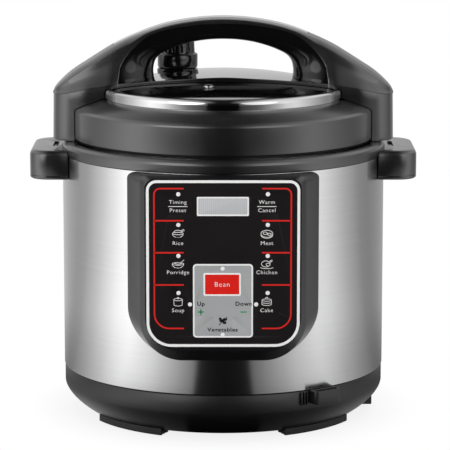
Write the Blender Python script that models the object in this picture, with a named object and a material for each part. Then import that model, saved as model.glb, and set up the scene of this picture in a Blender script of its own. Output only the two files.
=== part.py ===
"""Electric pressure cooker with a locking lid, an arched lid handle and a control panel.

Metres, +Z up. The origin is on the floor under the centre of the body, and the panel faces -Y.
"""

import math

import bmesh
import bpy
from mathutils import Vector
from mathutils.geometry import tessellate_polygon

# Driving dimensions
GAP = 0.0003
STEPS = 44
SHELL_R = 0.1420
SHELL_LOW, SHELL_HIGH = 0.0427, 0.2315
BOWL_R, BOWL_IN_R = 0.1415, 0.0744
BOWL_HIGH, BOWL_DEEP, BOWL_POWER = 0.0265, -0.0117, 1.5585
UNDERSIDE = 0.0042
FOOT_IN_R, FOOT_OUT_R = 0.1100, 0.1245
FOOT_FROM, FOOT_TO = 25.4, 61.0
RING_R, RING_IN_R, RING_TOP = 0.1425, 0.1340, 0.2430
EAR_OUT, EAR_HALF, EAR_LOW, EAR_HIGH = 0.1690, 0.0465, 0.2120, 0.2372
PANEL_Y = -0.1500
LID_R, LID_LOW = 0.1330, 0.2456
SKIRT_R, SKIRT_LOW = 0.1290, 0.2320
DOME_TOP, DOME_RADIUS = 0.3025, 0.377
POST_LOW = 0.2436
VALVE_X, VALVE_Y = -0.0409, 0.0410
FLOAT_X, FLOAT_Y = -0.0124, -0.0680
INNER_POT_R, POT_FLOOR = 0.1112, 0.0830

SIDE_KEY_X, SIDE_KEY_W = 0.0383, 0.0165
SIDE_KEYS = {  # name: (column, centre height, key height, indicator height)
    "key_timing_preset": (-1, 0.2062, 0.0130, 0.2163),
    "key_rice": (-1, 0.1793, 0.0150, 0.1904),
    "key_porridge": (-1, 0.1535, 0.0140, 0.1641),
    "key_soup": (-1, 0.1220, 0.0140, 0.1326),
    "key_warm_cancel": (1, 0.2062, 0.0130, 0.2163),
    "key_meat": (1, 0.1793, 0.0150, 0.1904),
    "key_chicken": (1, 0.1535, 0.0140, 0.1641),
    "key_cake": (1, 0.1220, 0.0140, 0.1326),
}
PLATE_KEYS = {  # name: (centre x, centre height, width, height)
    "key_bean": (-0.0008, 0.1399, 0.0314, 0.0196),
    "key_up": (-0.0186, 0.1198, 0.0095, 0.0135),
    "key_down": (0.0172, 0.1198, 0.0095, 0.0135),
    "key_vegetables": (-0.0004, 0.1058, 0.0160, 0.0130),
}
LED_X = 0.0373
CENTRE_LEDS = [(-0.0277, 0.1228), (0.0277, 0.1228), (-0.0004, 0.1533), (-0.0004, 0.0968)]
LED_R = 0.0015


def clear_scene():
    for obj in list(bpy.data.objects):
        bpy.data.objects.remove(obj, do_unlink=True)


def make_material(name, colour, metallic, roughness):
    mat = bpy.data.materials.new(name)
    mat.use_nodes = True
    shader = mat.node_tree.nodes["Principled BSDF"]
    shader.inputs["Base Color"].default_value = (*colour, 1.0)
    shader.inputs["Metallic"].default_value = metallic
    shader.inputs["Roughness"].default_value = roughness
    return mat


LOOKS = {
    "steel": ((0.62, 0.62, 0.63), 1.0, 0.32),
    "chrome": ((0.80, 0.80, 0.81), 1.0, 0.10),
    "aluminium": ((0.70, 0.70, 0.71), 1.0, 0.40),
    "black": ((0.020, 0.020, 0.022), 0.0, 0.35),
    "gloss": ((0.010, 0.010, 0.011), 0.0, 0.12),
    "rubber": ((0.030, 0.030, 0.030), 0.0, 0.85),
    "silicone": ((0.78, 0.78, 0.76), 0.0, 0.60),
    "grey": ((0.50, 0.51, 0.52), 0.0, 0.40),
    "red": ((0.62, 0.02, 0.02), 0.0, 0.35),
    "clear": ((0.85, 0.87, 0.88), 0.0, 0.15),
    "board": ((0.05, 0.20, 0.08), 0.0, 0.55),
}


def add_object(name, verts, faces, look, helper=False):
    mesh = bpy.data.meshes.new(name)
    mesh.from_pydata([tuple(v) for v in verts], [], faces)
    work = bmesh.new()
    work.from_mesh(mesh)
    bmesh.ops.recalc_face_normals(work, faces=work.faces)
    work.to_mesh(mesh)
    work.free()
    obj = bpy.data.objects.new(name, mesh)
    bpy.context.scene.collection.objects.link(obj)
    if helper:
        obj.hide_render = True
        obj.display_type = "WIRE"
    else:
        mesh.materials.append(make_material(name, *LOOKS[look]))
        mesh.shade_smooth()
        mesh.set_sharp_from_angle(angle=math.radians(32))
    return obj


def lathe(name, profile, look, steps=STEPS, centre=(0.0, 0.0), helper=False):
    """A closed (radius, height) profile turned about a vertical axis. Radius 0 makes a pole."""
    verts = []
    columns = []
    for r, z in profile:
        if r == 0:
            columns.append([len(verts)] * steps)
            verts.append((centre[0], centre[1], z))
            continue
        columns.append(list(range(len(verts), len(verts) + steps)))
        for i in range(steps):
            a = 2 * math.pi * i / steps
            verts.append((centre[0] + r * math.cos(a), centre[1] + r * math.sin(a), z))
    faces = []
    for k, here in enumerate(columns):
        there = columns[(k + 1) % len(columns)]
        for i in range(steps):
            j = (i + 1) % steps
            corners = list(dict.fromkeys([here[i], here[j], there[j], there[i]]))
            if len(corners) > 2:
                faces.append(corners)
    return add_object(name, verts, faces, look, helper)


def loft(name, rings, look, helper=False):
    """Rings of 3-D points with equal counts, joined in order and capped at both ends."""
    n = len(rings[0])
    verts = [p for ring in rings for p in ring]
    faces = [list(range(n)), list(range(len(verts) - n, len(verts)))]
    for k in range(len(rings) - 1):
        for i in range(n):
            j = (i + 1) % n
            faces.append([k * n + i, k * n + j, (k + 1) * n + j, (k + 1) * n + i])
    return add_object(name, verts, faces, look, helper)


def arc(centre, radius, start, end, count):
    """Points on a circle from one angle to another, in degrees."""
    points = []
    for i in range(count + 1):
        a = math.radians(start + (end - start) * i / count)
        points.append((centre[0] + radius * math.cos(a), centre[1] + radius * math.sin(a)))
    return points


def rounded(x0, z0, x1, z1, low_r, high_r=None, count=3):
    """A rectangle with rounded corners, counter-clockwise from its lower right corner."""
    high_r = low_r if high_r is None else high_r
    points = arc((x1 - low_r, z0 + low_r), low_r, -90, 0, count)
    points += arc((x1 - high_r, z1 - high_r), high_r, 0, 90, count)
    points += arc((x0 + high_r, z1 - high_r), high_r, 90, 180, count)
    points += arc((x0 + low_r, z0 + low_r), low_r, 180, 270, count)
    return points


def rectangle(x0, z0, x1, z1):
    return [(x0, z0), (x1, z0), (x1, z1), (x0, z1)]


def circle(x, z, radius, count=8):
    return arc((x, z), radius, 22.5, 382.5, count)[:-1]


def panel_plate(name, outline, holes, front, back, look, studs=(), stud_front=0.0):
    """A plate standing in XZ with through holes, and studs standing out of its front."""
    loops = [outline, *holes]
    flat = [p for loop in loops for p in loop]
    count = len(flat)
    verts = [(x, back, z) for x, z in flat] + [(x, front, z) for x, z in flat]
    to_vectors = [[Vector((x, z, 0)) for x, z in loop] for loop in loops]
    faces = [list(f) for f in tessellate_polygon(to_vectors)]
    stud_vectors = [[Vector((x, z, 0)) for x, z in loop] for loop in studs]
    fill = tessellate_polygon(to_vectors + stud_vectors)
    stud_start = 2 * count
    faces += [[i + count for i in f] for f in fill]
    for loop in studs:
        verts += [(x, front, z) for x, z in loop]
    start = 0
    for loop in loops:
        for i in range(len(loop)):
            a, b = start + i, start + (i + 1) % len(loop)
            faces.append([a, b, b + count, a + count])
        start += len(loop)
    first = stud_start
    for loop in studs:
        top = len(verts)
        verts += [(x, stud_front, z) for x, z in loop]
        n = len(loop)
        faces.append(list(range(top, top + n)))
        for i in range(n):
            j = (i + 1) % n
            faces.append([first + i, first + j, top + j, top + i])
        first += n
    return add_object(name, verts, faces, look)


def prism_y(name, outline, front, back, look, helper=False):
    rings = [[(x, y, z) for x, z in outline] for y in (front, back)]
    return loft(name, rings, look, helper)


def prism_z(name, outline, low, high, look, helper=False):
    rings = [[(x, y, z) for x, y in outline] for z in (low, high)]
    return loft(name, rings, look, helper)


def box(name, low, high, look, helper=False):
    outline = rectangle(low[0], low[1], high[0], high[1])
    return prism_z(name, outline, low[2], high[2], look, helper)


def boxes(name, pairs):
    """Several separate boxes in one hidden helper."""
    verts = []
    faces = []
    for low, high in pairs:
        n = len(verts)
        outline = rectangle(low[0], low[1], high[0], high[1])
        verts += [(x, y, low[2]) for x, y in outline] + [(x, y, high[2]) for x, y in outline]
        faces += [[n + 3, n + 2, n + 1, n], [n + 4, n + 5, n + 6, n + 7]]
        faces += [[n + i, n + (i + 1) % 4, n + 4 + (i + 1) % 4, n + 4 + i] for i in range(4)]
    return add_object(name, verts, faces, None, helper=True)


def slab(name, rows, low, high, look):
    """Rows of (x, y) points filled between two heights, each a function of x and y."""
    m, n = len(rows), len(rows[0])
    flat = [p for row in rows for p in row]
    verts = [(x, y, low(x, y)) for x, y in flat] + [(x, y, high(x, y)) for x, y in flat]
    faces = []
    for shift in (0, m * n):
        for i in range(m - 1):
            for j in range(n - 1):
                a = shift + i * n + j
                faces.append([a, a + 1, a + n + 1, a + n])
    edge = [j for j in range(n)] + [i * n + n - 1 for i in range(1, m)]
    edge += [(m - 1) * n + j for j in range(n - 2, -1, -1)]
    edge += [i * n for i in range(m - 2, 0, -1)]
    for k, a in enumerate(edge):
        b = edge[(k + 1) % len(edge)]
        faces.append([a, b, b + m * n, a + m * n])
    return add_object(name, verts, faces, look)


def tube(name, path, radius, sides, look, closed=False):
    """A round wire along a path, closed on itself or capped."""
    points = [Vector(p) for p in path]
    count = len(points)
    rings = []
    for i, p in enumerate(points):
        if closed:
            along = points[(i + 1) % count] - points[i - 1]
        else:
            along = points[min(i + 1, count - 1)] - points[max(i - 1, 0)]
        side = along.cross(Vector((0, 0, 1))).normalized()
        up = side.cross(along).normalized()
        ring = []
        for k in range(sides):
            a = 2 * math.pi * k / sides
            ring.append(p + side * (radius * math.cos(a)) + up * (radius * math.sin(a)))
        rings.append(ring)
    if not closed:
        return loft(name, rings, look)
    verts = [p for ring in rings for p in ring]
    faces = []
    for k in range(count):
        m = (k + 1) % count
        for i in range(sides):
            j = (i + 1) % sides
            faces.append([k * sides + i, k * sides + j, m * sides + j, m * sides + i])
    return add_object(name, verts, faces, look)


def boolean(obj, other, operation="DIFFERENCE"):
    modifier = obj.modifiers.new(other.name, "BOOLEAN")
    modifier.operation = operation
    modifier.solver = "EXACT"
    modifier.object = other


def bevel(obj, width, segments=2, angle=35):
    modifier = obj.modifiers.new("edges", "BEVEL")
    modifier.width = width
    modifier.segments = segments
    modifier.limit_method = "ANGLE"
    modifier.angle_limit = math.radians(angle)


def curve(points):
    """Linear interpolation through (x, value) points, even in x."""

    def at(x):
        x = abs(x)
        for (x0, v0), (x1, v1) in zip(points, points[1:]):
            if x <= x1:
                return v0 + (v1 - v0) * (x - x0) / (x1 - x0)
        return points[-1][1]

    return at


def set_origin(obj, point):
    """Moves the object's origin without moving its shape."""
    shift = Vector(point)
    for v in obj.data.vertices:
        v.co -= shift
    obj.location = shift


def bowl_z(r):
    ratio = ((r - BOWL_IN_R) / (BOWL_R - BOWL_IN_R)) ** BOWL_POWER
    return BOWL_HIGH + (BOWL_DEEP - BOWL_HIGH) * (1 - ratio) ** (1 / BOWL_POWER)


def dome_z(r):
    return DOME_TOP - r * r / (2 * DOME_RADIUS)


# Body: shell, base and feet


def build_shell():
    profile = [(SHELL_R, SHELL_LOW), (SHELL_R, SHELL_HIGH)]
    profile += [(SHELL_R - 0.0008, SHELL_HIGH), (SHELL_R - 0.0008, SHELL_LOW)]
    shell = lathe("outer_shell", profile, "steel")
    window = box("shell_window", (-0.0500, -0.16, 0.1000), (0.0500, -0.12, 0.2150), None, True)
    boolean(shell, window)


def build_base():
    outer = [(r, bowl_z(r)) for r in (0.1215, 0.1250, 0.1305, 0.1360, 0.1400)]
    profile = [(0.0, UNDERSIDE), (0.1205, UNDERSIDE), *outer, (BOWL_R, BOWL_HIGH)]
    profile += [(BOWL_R, 0.0424), (0.1407, 0.0424), (0.1407, 0.0520), (0.1382, 0.0520)]
    profile += [(0.1382, 0.0290), (0.1340, 0.0195), (0.1270, 0.0115), (0.1190, 0.0067)]
    profile += [(0.0, 0.0067)]
    base = lathe("base_housing", profile, "black")
    slots = []
    for k in range(-3, 4):
        y = 0.018 * k
        half = 0.040 - 0.004 * abs(k)
        slots.append(((-half, y - 0.0022, 0.0), (half, y + 0.0022, 0.012)))
    boolean(base, boxes("vent_slots", slots))
    notch = ((0.0985, -0.0205, -0.01), (0.1600, 0.0205, 0.0265))
    boolean(base, boxes("inlet_notch", [notch]))


def build_feet():
    names = ["foot_front_right", "foot_rear_right", "foot_rear_left", "foot_front_left"]
    radii = [FOOT_IN_R, 0.1205, 0.1215, 0.1230, FOOT_OUT_R]
    tops = [UNDERSIDE, UNDERSIDE, bowl_z(0.1215), bowl_z(0.1230), bowl_z(FOOT_OUT_R)]
    for name, quarter in zip(names, range(4)):
        rings = []
        for i in range(6):
            turn = FOOT_FROM + (FOOT_TO - FOOT_FROM) * i / 5
            if quarter % 2:
                turn = 90 - turn
            a = math.radians(-90 + 90 * quarter + turn)
            section = [(r, z - GAP) for r, z in zip(radii, tops)]
            section += [(FOOT_OUT_R, 0.0012), (FOOT_OUT_R - 0.0012, 0.0)]
            section += [(FOOT_IN_R + 0.0012, 0.0), (FOOT_IN_R, 0.0012)]
            rings.append([(r * math.cos(a), r * math.sin(a), z) for r, z in section])
        loft(name, rings, "rubber")


def build_ring():
    profile = [(RING_R, SHELL_HIGH + GAP), (RING_R, 0.2385), (0.1418, 0.2405), (0.1390, RING_TOP)]
    profile += [(RING_IN_R, RING_TOP), (RING_IN_R, 0.2294), (0.1403, 0.2294)]
    profile += [(0.1403, SHELL_HIGH + GAP)]
    lathe("upper_ring", profile, "black")
    profile = [(0.1170, 0.2268), (0.1170, 0.2290), (0.1403, 0.2290), (0.1403, 0.2268)]
    lathe("drip_trough", profile, "black")


def ear_outline(inner_r, outer_x, half, corner):
    span = math.degrees(math.asin(half / inner_r))
    points = arc((0, 0), inner_r, span, -span, 8)
    points += arc((outer_x - corner, -half + corner), corner, -90, 0, 4)
    points += arc((outer_x - corner, half - corner), corner, 0, 90, 4)
    return points


def build_ears():
    for name, side in (("side_handle_right", 1), ("side_handle_left", -1)):
        outline = ear_outline(SHELL_R + 0.0008, EAR_OUT, EAR_HALF, 0.016)
        hollow = ear_outline(SHELL_R + 0.0035, EAR_OUT - 0.0030, EAR_HALF - 0.0035, 0.013)
        slot = rectangle(0.1455, -0.0150, 0.1500, 0.0150)
        outline, hollow, slot = (
            [(side * x, y) for x, y in shape] for shape in (outline, hollow, slot)
        )
        ear = prism_z(name, outline, EAR_LOW, EAR_HIGH, "black")
        bevel(ear, 0.0022, 2, 60)
        boolean(ear, prism_z(name + "_hollow", hollow, 0.2000, EAR_HIGH - 0.0042, None, True))
        boolean(ear, prism_z(name + "_slot", slot, EAR_HIGH - 0.0022, 0.2500, None, True))


# Body: pots, heating and electrics


def build_pots():
    profile = [(0.0160, 0.0600), (0.1080, 0.0600), (0.1145, 0.0665), (0.1145, 0.2365)]
    profile += [(0.1215, 0.2365), (0.1215, 0.2402), (0.1130, 0.2402), (0.1130, 0.0671)]
    profile += [(0.1074, 0.0615), (0.0160, 0.0615)]
    pot = lathe("pressure_pot", profile, "aluminium")
    for k in range(6):
        start = 60 * k + 9.0
        outline = arc((0, 0), 0.1200, start, start + 20.0, 3)
        outline += arc((0, 0), 0.1228, start + 20.0, start, 3)
        lug = prism_z(f"pot_lug_{k}", outline, 0.2370, 0.2398, None, True)
        boolean(pot, lug, "UNION")
    profile = [(0.0, POT_FLOOR), (0.0870, POT_FLOOR), (0.1050, 0.0900), (INNER_POT_R, 0.1050)]
    profile += [(INNER_POT_R, 0.2405), (0.1165, 0.2405), (0.1165, 0.2417), (0.1099, 0.2417)]
    profile += [(0.1099, 0.1055), (0.1040, 0.0911), (0.0866, 0.0844), (0.0, 0.0844)]
    lathe("inner_pot", profile, "aluminium")


def build_heating():
    profile = [(0.0150, 0.0695), (0.0920, 0.0695), (0.0945, 0.0720), (0.0945, 0.0780)]
    profile += [(0.0860, 0.0825), (0.0150, 0.0825)]
    lathe("heating_plate", profile, "aluminium", 36)
    bend = [(0.065 * math.cos(a), 0.065 * math.sin(a), 0.0654) for a in
            (math.radians(15 + 330 * i / 22) for i in range(23))]
    tube("heating_element", bend, 0.0032, 6, "steel")
    profile = [(0.0, 0.0575), (0.0190, 0.0575), (0.0190, 0.0597), (0.0155, 0.0597)]
    profile += [(0.0155, 0.0632), (0.0120, 0.0632), (0.0120, 0.0610), (0.0, 0.0610)]
    lathe("sensor_seat", profile, "aluminium", 24)
    profile = [(0.0, 0.0827), (0.0120, 0.0827), (0.0135, 0.0812), (0.0135, 0.0760)]
    profile += [(0.0120, 0.0760), (0.0120, 0.0800), (0.0, 0.0800)]
    probe = lathe("sensor_probe", profile, "aluminium", 24)
    set_origin(probe, (0, 0, 0.0800))
    coil = []
    for i in range(37):
        a = 2 * math.pi * i / 9
        coil.append((0.0085 * math.cos(a), 0.0085 * math.sin(a), 0.0620 + 0.0170 * i / 36))
    tube("sensor_spring", coil, 0.0007, 4, "steel")


def build_electrics():
    switch = box("pressure_switch", (0.0450, -0.0110, 0.0480), (0.0670, 0.0110, 0.0555), "black")
    button = prism_z("switch_button", circle(0.056, 0.0, 0.003), 0.0550, 0.0597, None, True)
    boolean(switch, button, "UNION")
    board = box("power_board", (-0.0700, -0.0450, 0.0160), (0.0300, 0.0450, 0.0176), "board")
    parts = [((-0.0620, -0.0380, 0.0170), (-0.0340, -0.0080, 0.0380))]
    parts += [((-0.0620, 0.0060, 0.0170), (-0.0430, 0.0340, 0.0330))]
    parts += [((-0.0220, -0.0360, 0.0170), (-0.0060, -0.0200, 0.0300))]
    parts += [((-0.0200, 0.0040, 0.0170), (0.0180, 0.0120, 0.0340))]
    parts += [((-0.0300, 0.0250, 0.0170), (0.0200, 0.0330, 0.0270))]
    boolean(board, boxes("power_parts", parts), "UNION")
    inlet = box("power_inlet", (0.0990, -0.0200, 0.0048), (0.1325, 0.0200, 0.0262), "black")
    bevel(inlet, 0.0010, 1)
    boolean(inlet, box("socket", (0.1180, -0.0120, 0.0075), (0.14, 0.0120, 0.0235), None, True))
    pins = []
    for y, z in ((-0.0070, 0.0140), (0.0070, 0.0140), (0.0, 0.0180)):
        pins.append(((0.1170, y - 0.0010, z - 0.0020), (0.1250, y + 0.0010, z + 0.0020)))
    boolean(inlet, boxes("socket_pins", pins), "UNION")


# Control panel


def surround_ring(half, low, high, low_r, high_r, y):
    return [(x, y, z) for x, z in rounded(-half, low, half, high, low_r, high_r, 6)]


def build_panel():
    rings = [surround_ring(0.0655, 0.0831, 0.2284, 0.0290, 0.0020, PANEL_Y)]
    rings += [surround_ring(0.0665, 0.0821, 0.2292, 0.0300, 0.0030, PANEL_Y + 0.0010)]
    rings += [surround_ring(0.0697, 0.0732, 0.2312, 0.0360, 0.0030, -0.1430)]
    rings += [surround_ring(0.0870, 0.0720, 0.2312, 0.0440, 0.0030, -0.1050)]
    surround = loft("panel_surround", rings, "black")
    film_shape = rounded(-0.0642, 0.0865, 0.0642, 0.2276, 0.0210, 0.0085, 4)
    seat_shape = rounded(-0.0645, 0.0862, 0.0645, 0.2279, 0.0213, 0.0088, 4)
    cavity = rounded(-0.0595, 0.0920, 0.0595, 0.2225, 0.0170, 0.0050, 3)
    boolean(surround, prism_y("film_seat", seat_shape, -0.16, -0.1482, None, True))
    boolean(surround, prism_y("panel_cavity", cavity, -0.15, -0.09, None, True))
    drum = [(0.0, 0.05), (SHELL_R + 0.0004, 0.05), (SHELL_R + 0.0004, 0.25), (0.0, 0.25)]
    boolean(surround, lathe("shell_drum", drum, None, helper=True))

    display = (-0.0218, 0.1980, 0.0215, 0.2141)
    plate = (-0.0252, 0.0945, 0.0250, 0.1573)
    key_boxes = {}
    side_leds = []
    for name, (side, z, height, led_z) in SIDE_KEYS.items():
        half = SIDE_KEY_W / 2
        x = side * SIDE_KEY_X
        key_boxes[name] = (x - half, z - height / 2, x + half, z + height / 2)
        side_leds.append((side * LED_X, led_z))
    for name, (x, z, width, height) in PLATE_KEYS.items():
        key_boxes[name] = (x - width / 2, z - height / 2, x + width / 2, z + height / 2)

    def grown(shape, by):
        return (shape[0] - by, shape[1] - by, shape[2] + by, shape[3] + by)

    leds = side_leds + CENTRE_LEDS
    film_holes = [rounded(*grown(key_boxes[n], GAP), 0.0018, None, 2) for n in SIDE_KEYS]
    film_holes += [rectangle(*grown(display, GAP)), rounded(*grown(plate, GAP), 0.0023, None, 2)]
    film_holes += [circle(x, z, LED_R + GAP) for x, z in leds[:10]]
    panel_plate("control_film", film_shape, film_holes, -0.1499, -0.1486, "gloss")
    plate_holes = [rounded(*grown(key_boxes[n], GAP), 0.0018, None, 2) for n in PLATE_KEYS]
    plate_holes += [circle(x, z, LED_R + GAP) for x, z in leds[10:]]
    plate_shape = rounded(*plate, 0.0020, None, 2)
    panel_plate("centre_plate", plate_shape, plate_holes, -0.1499, -0.1486, "grey")
    guide_shape = rounded(-0.0590, 0.0925, 0.0590, 0.2220, 0.0165, 0.0045, 3)
    guide_holes = [rectangle(*grown(b, GAP)) for b in key_boxes.values()]
    guide_holes.append(rectangle(*grown(display, -0.0005)))
    studs = [circle(x, z, LED_R) for x, z in leds]
    panel_plate(
        "light_guide", guide_shape, guide_holes, -0.1480, -0.1464, "clear", studs, -0.1499
    )
    window = prism_y("display_window", rectangle(*display), -0.1499, -0.1487, "clear")
    bevel(window, 0.0004, 1)
    module = grown(display, -0.0012)
    prism_y("display_module", rectangle(*module), -0.1482, -0.1432, "grey")
    for name, shape in key_boxes.items():
        look = "red" if name == "key_bean" else "grey" if name in PLATE_KEYS else "gloss"
        key = prism_y(name, rounded(*shape, 0.0015, None, 2), -0.1499, -0.1452, look)
        x, z = (shape[0] + shape[2]) / 2, (shape[1] + shape[3]) / 2
        set_origin(key, (x, -0.1475, z))
    board_shape = rectangle(-0.0480, 0.1015, 0.0480, 0.2140)
    pads = [
        circle((b[0] + b[2]) / 2, (b[1] + b[3]) / 2, 0.0017) for b in key_boxes.values()
    ]
    board = [(x, z) for x, z in board_shape]
    panel_plate("control_board", board, [], -0.1427, -0.1411, "board", pads, -0.1443)


# Small fittings of the body


def build_fittings():
    frame = []
    inner = []
    angle = math.radians(-90 + 36.5)
    out = Vector((math.cos(angle), math.sin(angle)))
    side = Vector((-out.y, out.x))
    for across, depth in ((-0.0134, 0.0010), (0.0134, 0.0010), (0.0134, 0.0104), (-0.0134, 0.0104)):
        p = out * (BOWL_R + depth) + side * across
        frame.append((p.x, p.y))
    for across, depth in ((-0.0117, 0.0022), (0.0117, 0.0022), (0.0117, 0.0090), (-0.0117, 0.0090)):
        p = out * (BOWL_R + depth) + side * across
        inner.append((p.x, p.y))
    holder = prism_z("spoon_holder", frame, 0.0310, 0.0424, "black")
    boolean(holder, prism_z("spoon_slot", inner, 0.0200, 0.0500, None, True))
    back_r = SHELL_R + 0.0008
    half = 0.0260

    def cup_shape(radius, half, rear, corner):
        span = math.degrees(math.asin(half / radius))
        points = arc((0, 0), radius, 90 - span, 90 + span, 6)
        points += arc((-half + corner, rear - corner), corner, 180, 90, 3)
        points += arc((half - corner, rear - corner), corner, 90, 0, 3)
        return points

    cup = prism_z("condensation_cup", cup_shape(back_r, half, 0.1500, 0.004), 0.150, 0.208, "clear")
    inside = cup_shape(back_r + 0.0012, half - 0.0013, 0.1488, 0.003)
    boolean(cup, prism_z("cup_inside", inside, 0.1520, 0.2150, None, True))
    spout = prism_z("condensate_spout", cup_shape(back_r, 0.012, 0.1490, 0.003), 0.2086, 0.2300,
                    "black")
    bevel(spout, 0.0006, 1)


# Lid


def build_lid():
    profile = [(LID_R, LID_LOW), (LID_R, 0.2690), (0.1318, 0.2715), (0.1285, 0.2735)]
    profile += [(0.1084, 0.2812), (0.1084, 0.2785), (0.1270, 0.2712), (0.1305, 0.2680)]
    profile += [(0.1305, LID_LOW)]
    lathe("lid_cover", profile, "black")
    top = [(0.0, DOME_TOP)]
    top += [(r, dome_z(r)) for r in (0.030, 0.055, 0.078, 0.098)]
    top += [(0.1022, 0.2896), (0.1054, 0.2890), (0.1078, 0.2855)]
    profile = top + [(0.1078, 0.2620), (SKIRT_R, 0.2590), (SKIRT_R, 0.2570)]
    profile += [(0.1060, 0.2602), (0.1060, 0.2850), (0.1020, 0.2878)]
    profile += [(r, dome_z(r) - 0.0020) for r in (0.098, 0.055)]
    profile += [(0.0, DOME_TOP - 0.0020)]
    steel = lathe("steel_lid", profile, "chrome")
    for name, x, y, r in (("vent_hole", VALVE_X, VALVE_Y, 0.0055),
                          ("float_hole", FLOAT_X, FLOAT_Y, 0.0036)):
        hole = [(0.0, 0.27), (r, 0.27), (r, 0.32), (0.0, 0.32)]
        boolean(steel, lathe(name, hole, None, 16, (x, y), helper=True))
    skirt_in = SKIRT_R - 0.0018
    profile = [(SKIRT_R, 0.2566), (skirt_in, 0.2566), (skirt_in, SKIRT_LOW), (SKIRT_R, SKIRT_LOW)]
    skirt = lathe("locking_ring", profile, "chrome")
    for k in range(6):
        start = 60 * k + 38.5
        outline = arc((0, 0), 0.1252, start, start + 13, 2)
        outline += arc((0, 0), 0.1282, start + 13, start, 2)
        lug = prism_z(f"lid_lug_{k}", outline, SKIRT_LOW + 0.0003, 0.2350, None, True)
        boolean(skirt, lug, "UNION")
    profile = [(0.1262, 0.2428), (0.1262, 0.2555), (0.1120, 0.2558), (0.1120, 0.2538)]
    profile += [(0.1236, 0.2533), (0.1236, 0.2455), (0.1060, 0.2448), (0.1060, 0.2428)]
    lathe("sealing_ring", profile, "silicone")
    rack = [(0.1210 * math.cos(a), 0.1210 * math.sin(a), 0.2495) for a in
            (2 * math.pi * i / STEPS for i in range(STEPS))]
    tube("seal_rack", rack, 0.0016, 4, "steel", closed=True)


ARCH_TOP = curve([
    (0.0, 0.3505), (0.0154, 0.3499), (0.0312, 0.3481), (0.0470, 0.3452), (0.0630, 0.3406),
    (0.0787, 0.3346), (0.0895, 0.3298), (0.1000, 0.3243), (0.1110, 0.3175), (0.1212, 0.3108),
    (0.1325, 0.3038), (0.1389, 0.2984), (0.1443, 0.2932), (0.1477, 0.2897), (0.1490, 0.2878),
    (0.1498, 0.2842)])
SPLIT = curve([(0.0, 0.3440), (0.0154, 0.3434), (0.0312, 0.3416), (0.0470, 0.3387),
               (0.0550, 0.3360), (0.0650, 0.3285), (0.0750, 0.3185), (0.0830, 0.3080),
               (0.0870, 0.2992)])
GRIP_UNDER = curve([(0.0, 0.3312), (0.0222, 0.3288), (0.0306, 0.3276), (0.0412, 0.3242),
                    (0.0518, 0.3205), (0.0571, 0.3175), (0.0610, 0.3130), (0.0622, 0.3080)])
LOWER_LINE = curve([(0.0, 0.2994), (0.0624, 0.2984), (0.0750, 0.2966), (0.0870, 0.2947),
                    (0.1030, 0.2922), (0.1200, 0.2892), (0.1345, 0.2857), (0.1498, 0.2832)])
TOP_HALF = curve([(0.0, 0.0195), (0.0550, 0.0200), (0.1000, 0.0235), (0.1400, 0.0260),
                  (0.1485, 0.0255), (0.1498, 0.0225)])
LOW_HALF = curve([(0.0, 0.0200), (0.0550, 0.0205), (0.0650, 0.0250), (0.0800, 0.0305),
                  (0.1000, 0.0330), (0.1300, 0.0315), (0.1450, 0.0300), (0.1485, 0.0280),
                  (0.1498, 0.0240)])
INLAY_FROM, INLAY_TO, INLAY_HALF = -0.0970, 0.0750, 0.0080


def shell_ring(x, low, groove):
    top, t, b = ARCH_TOP(x), TOP_HALF(x), LOW_HALF(x)
    drop = 0.0016 if groove else 0.0
    half = [(0.0, top - drop), (INLAY_HALF, top - 0.0004 - drop), (INLAY_HALF, top - 0.0004)]
    if not groove:
        half = [(0.0, top), (INLAY_HALF - 0.0004, top - 0.0003), (INLAY_HALF, top - 0.0004)]
    half += [(t * 0.72, top - 0.0021), (t, top - 0.0055)]
    if top - low > 0.010:
        half += [((t + 2 * b) / 3, top - 0.0055 - 0.6 * (top - low - 0.0055)), (b, low)]
    else:
        half += [(t + 0.0002, top - 0.0060), (t + 0.0002, low)]
    ring = [(x, y, z) for y, z in half]
    return ring + [(x, -y, z) for y, z in reversed(half[1:])]


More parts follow.
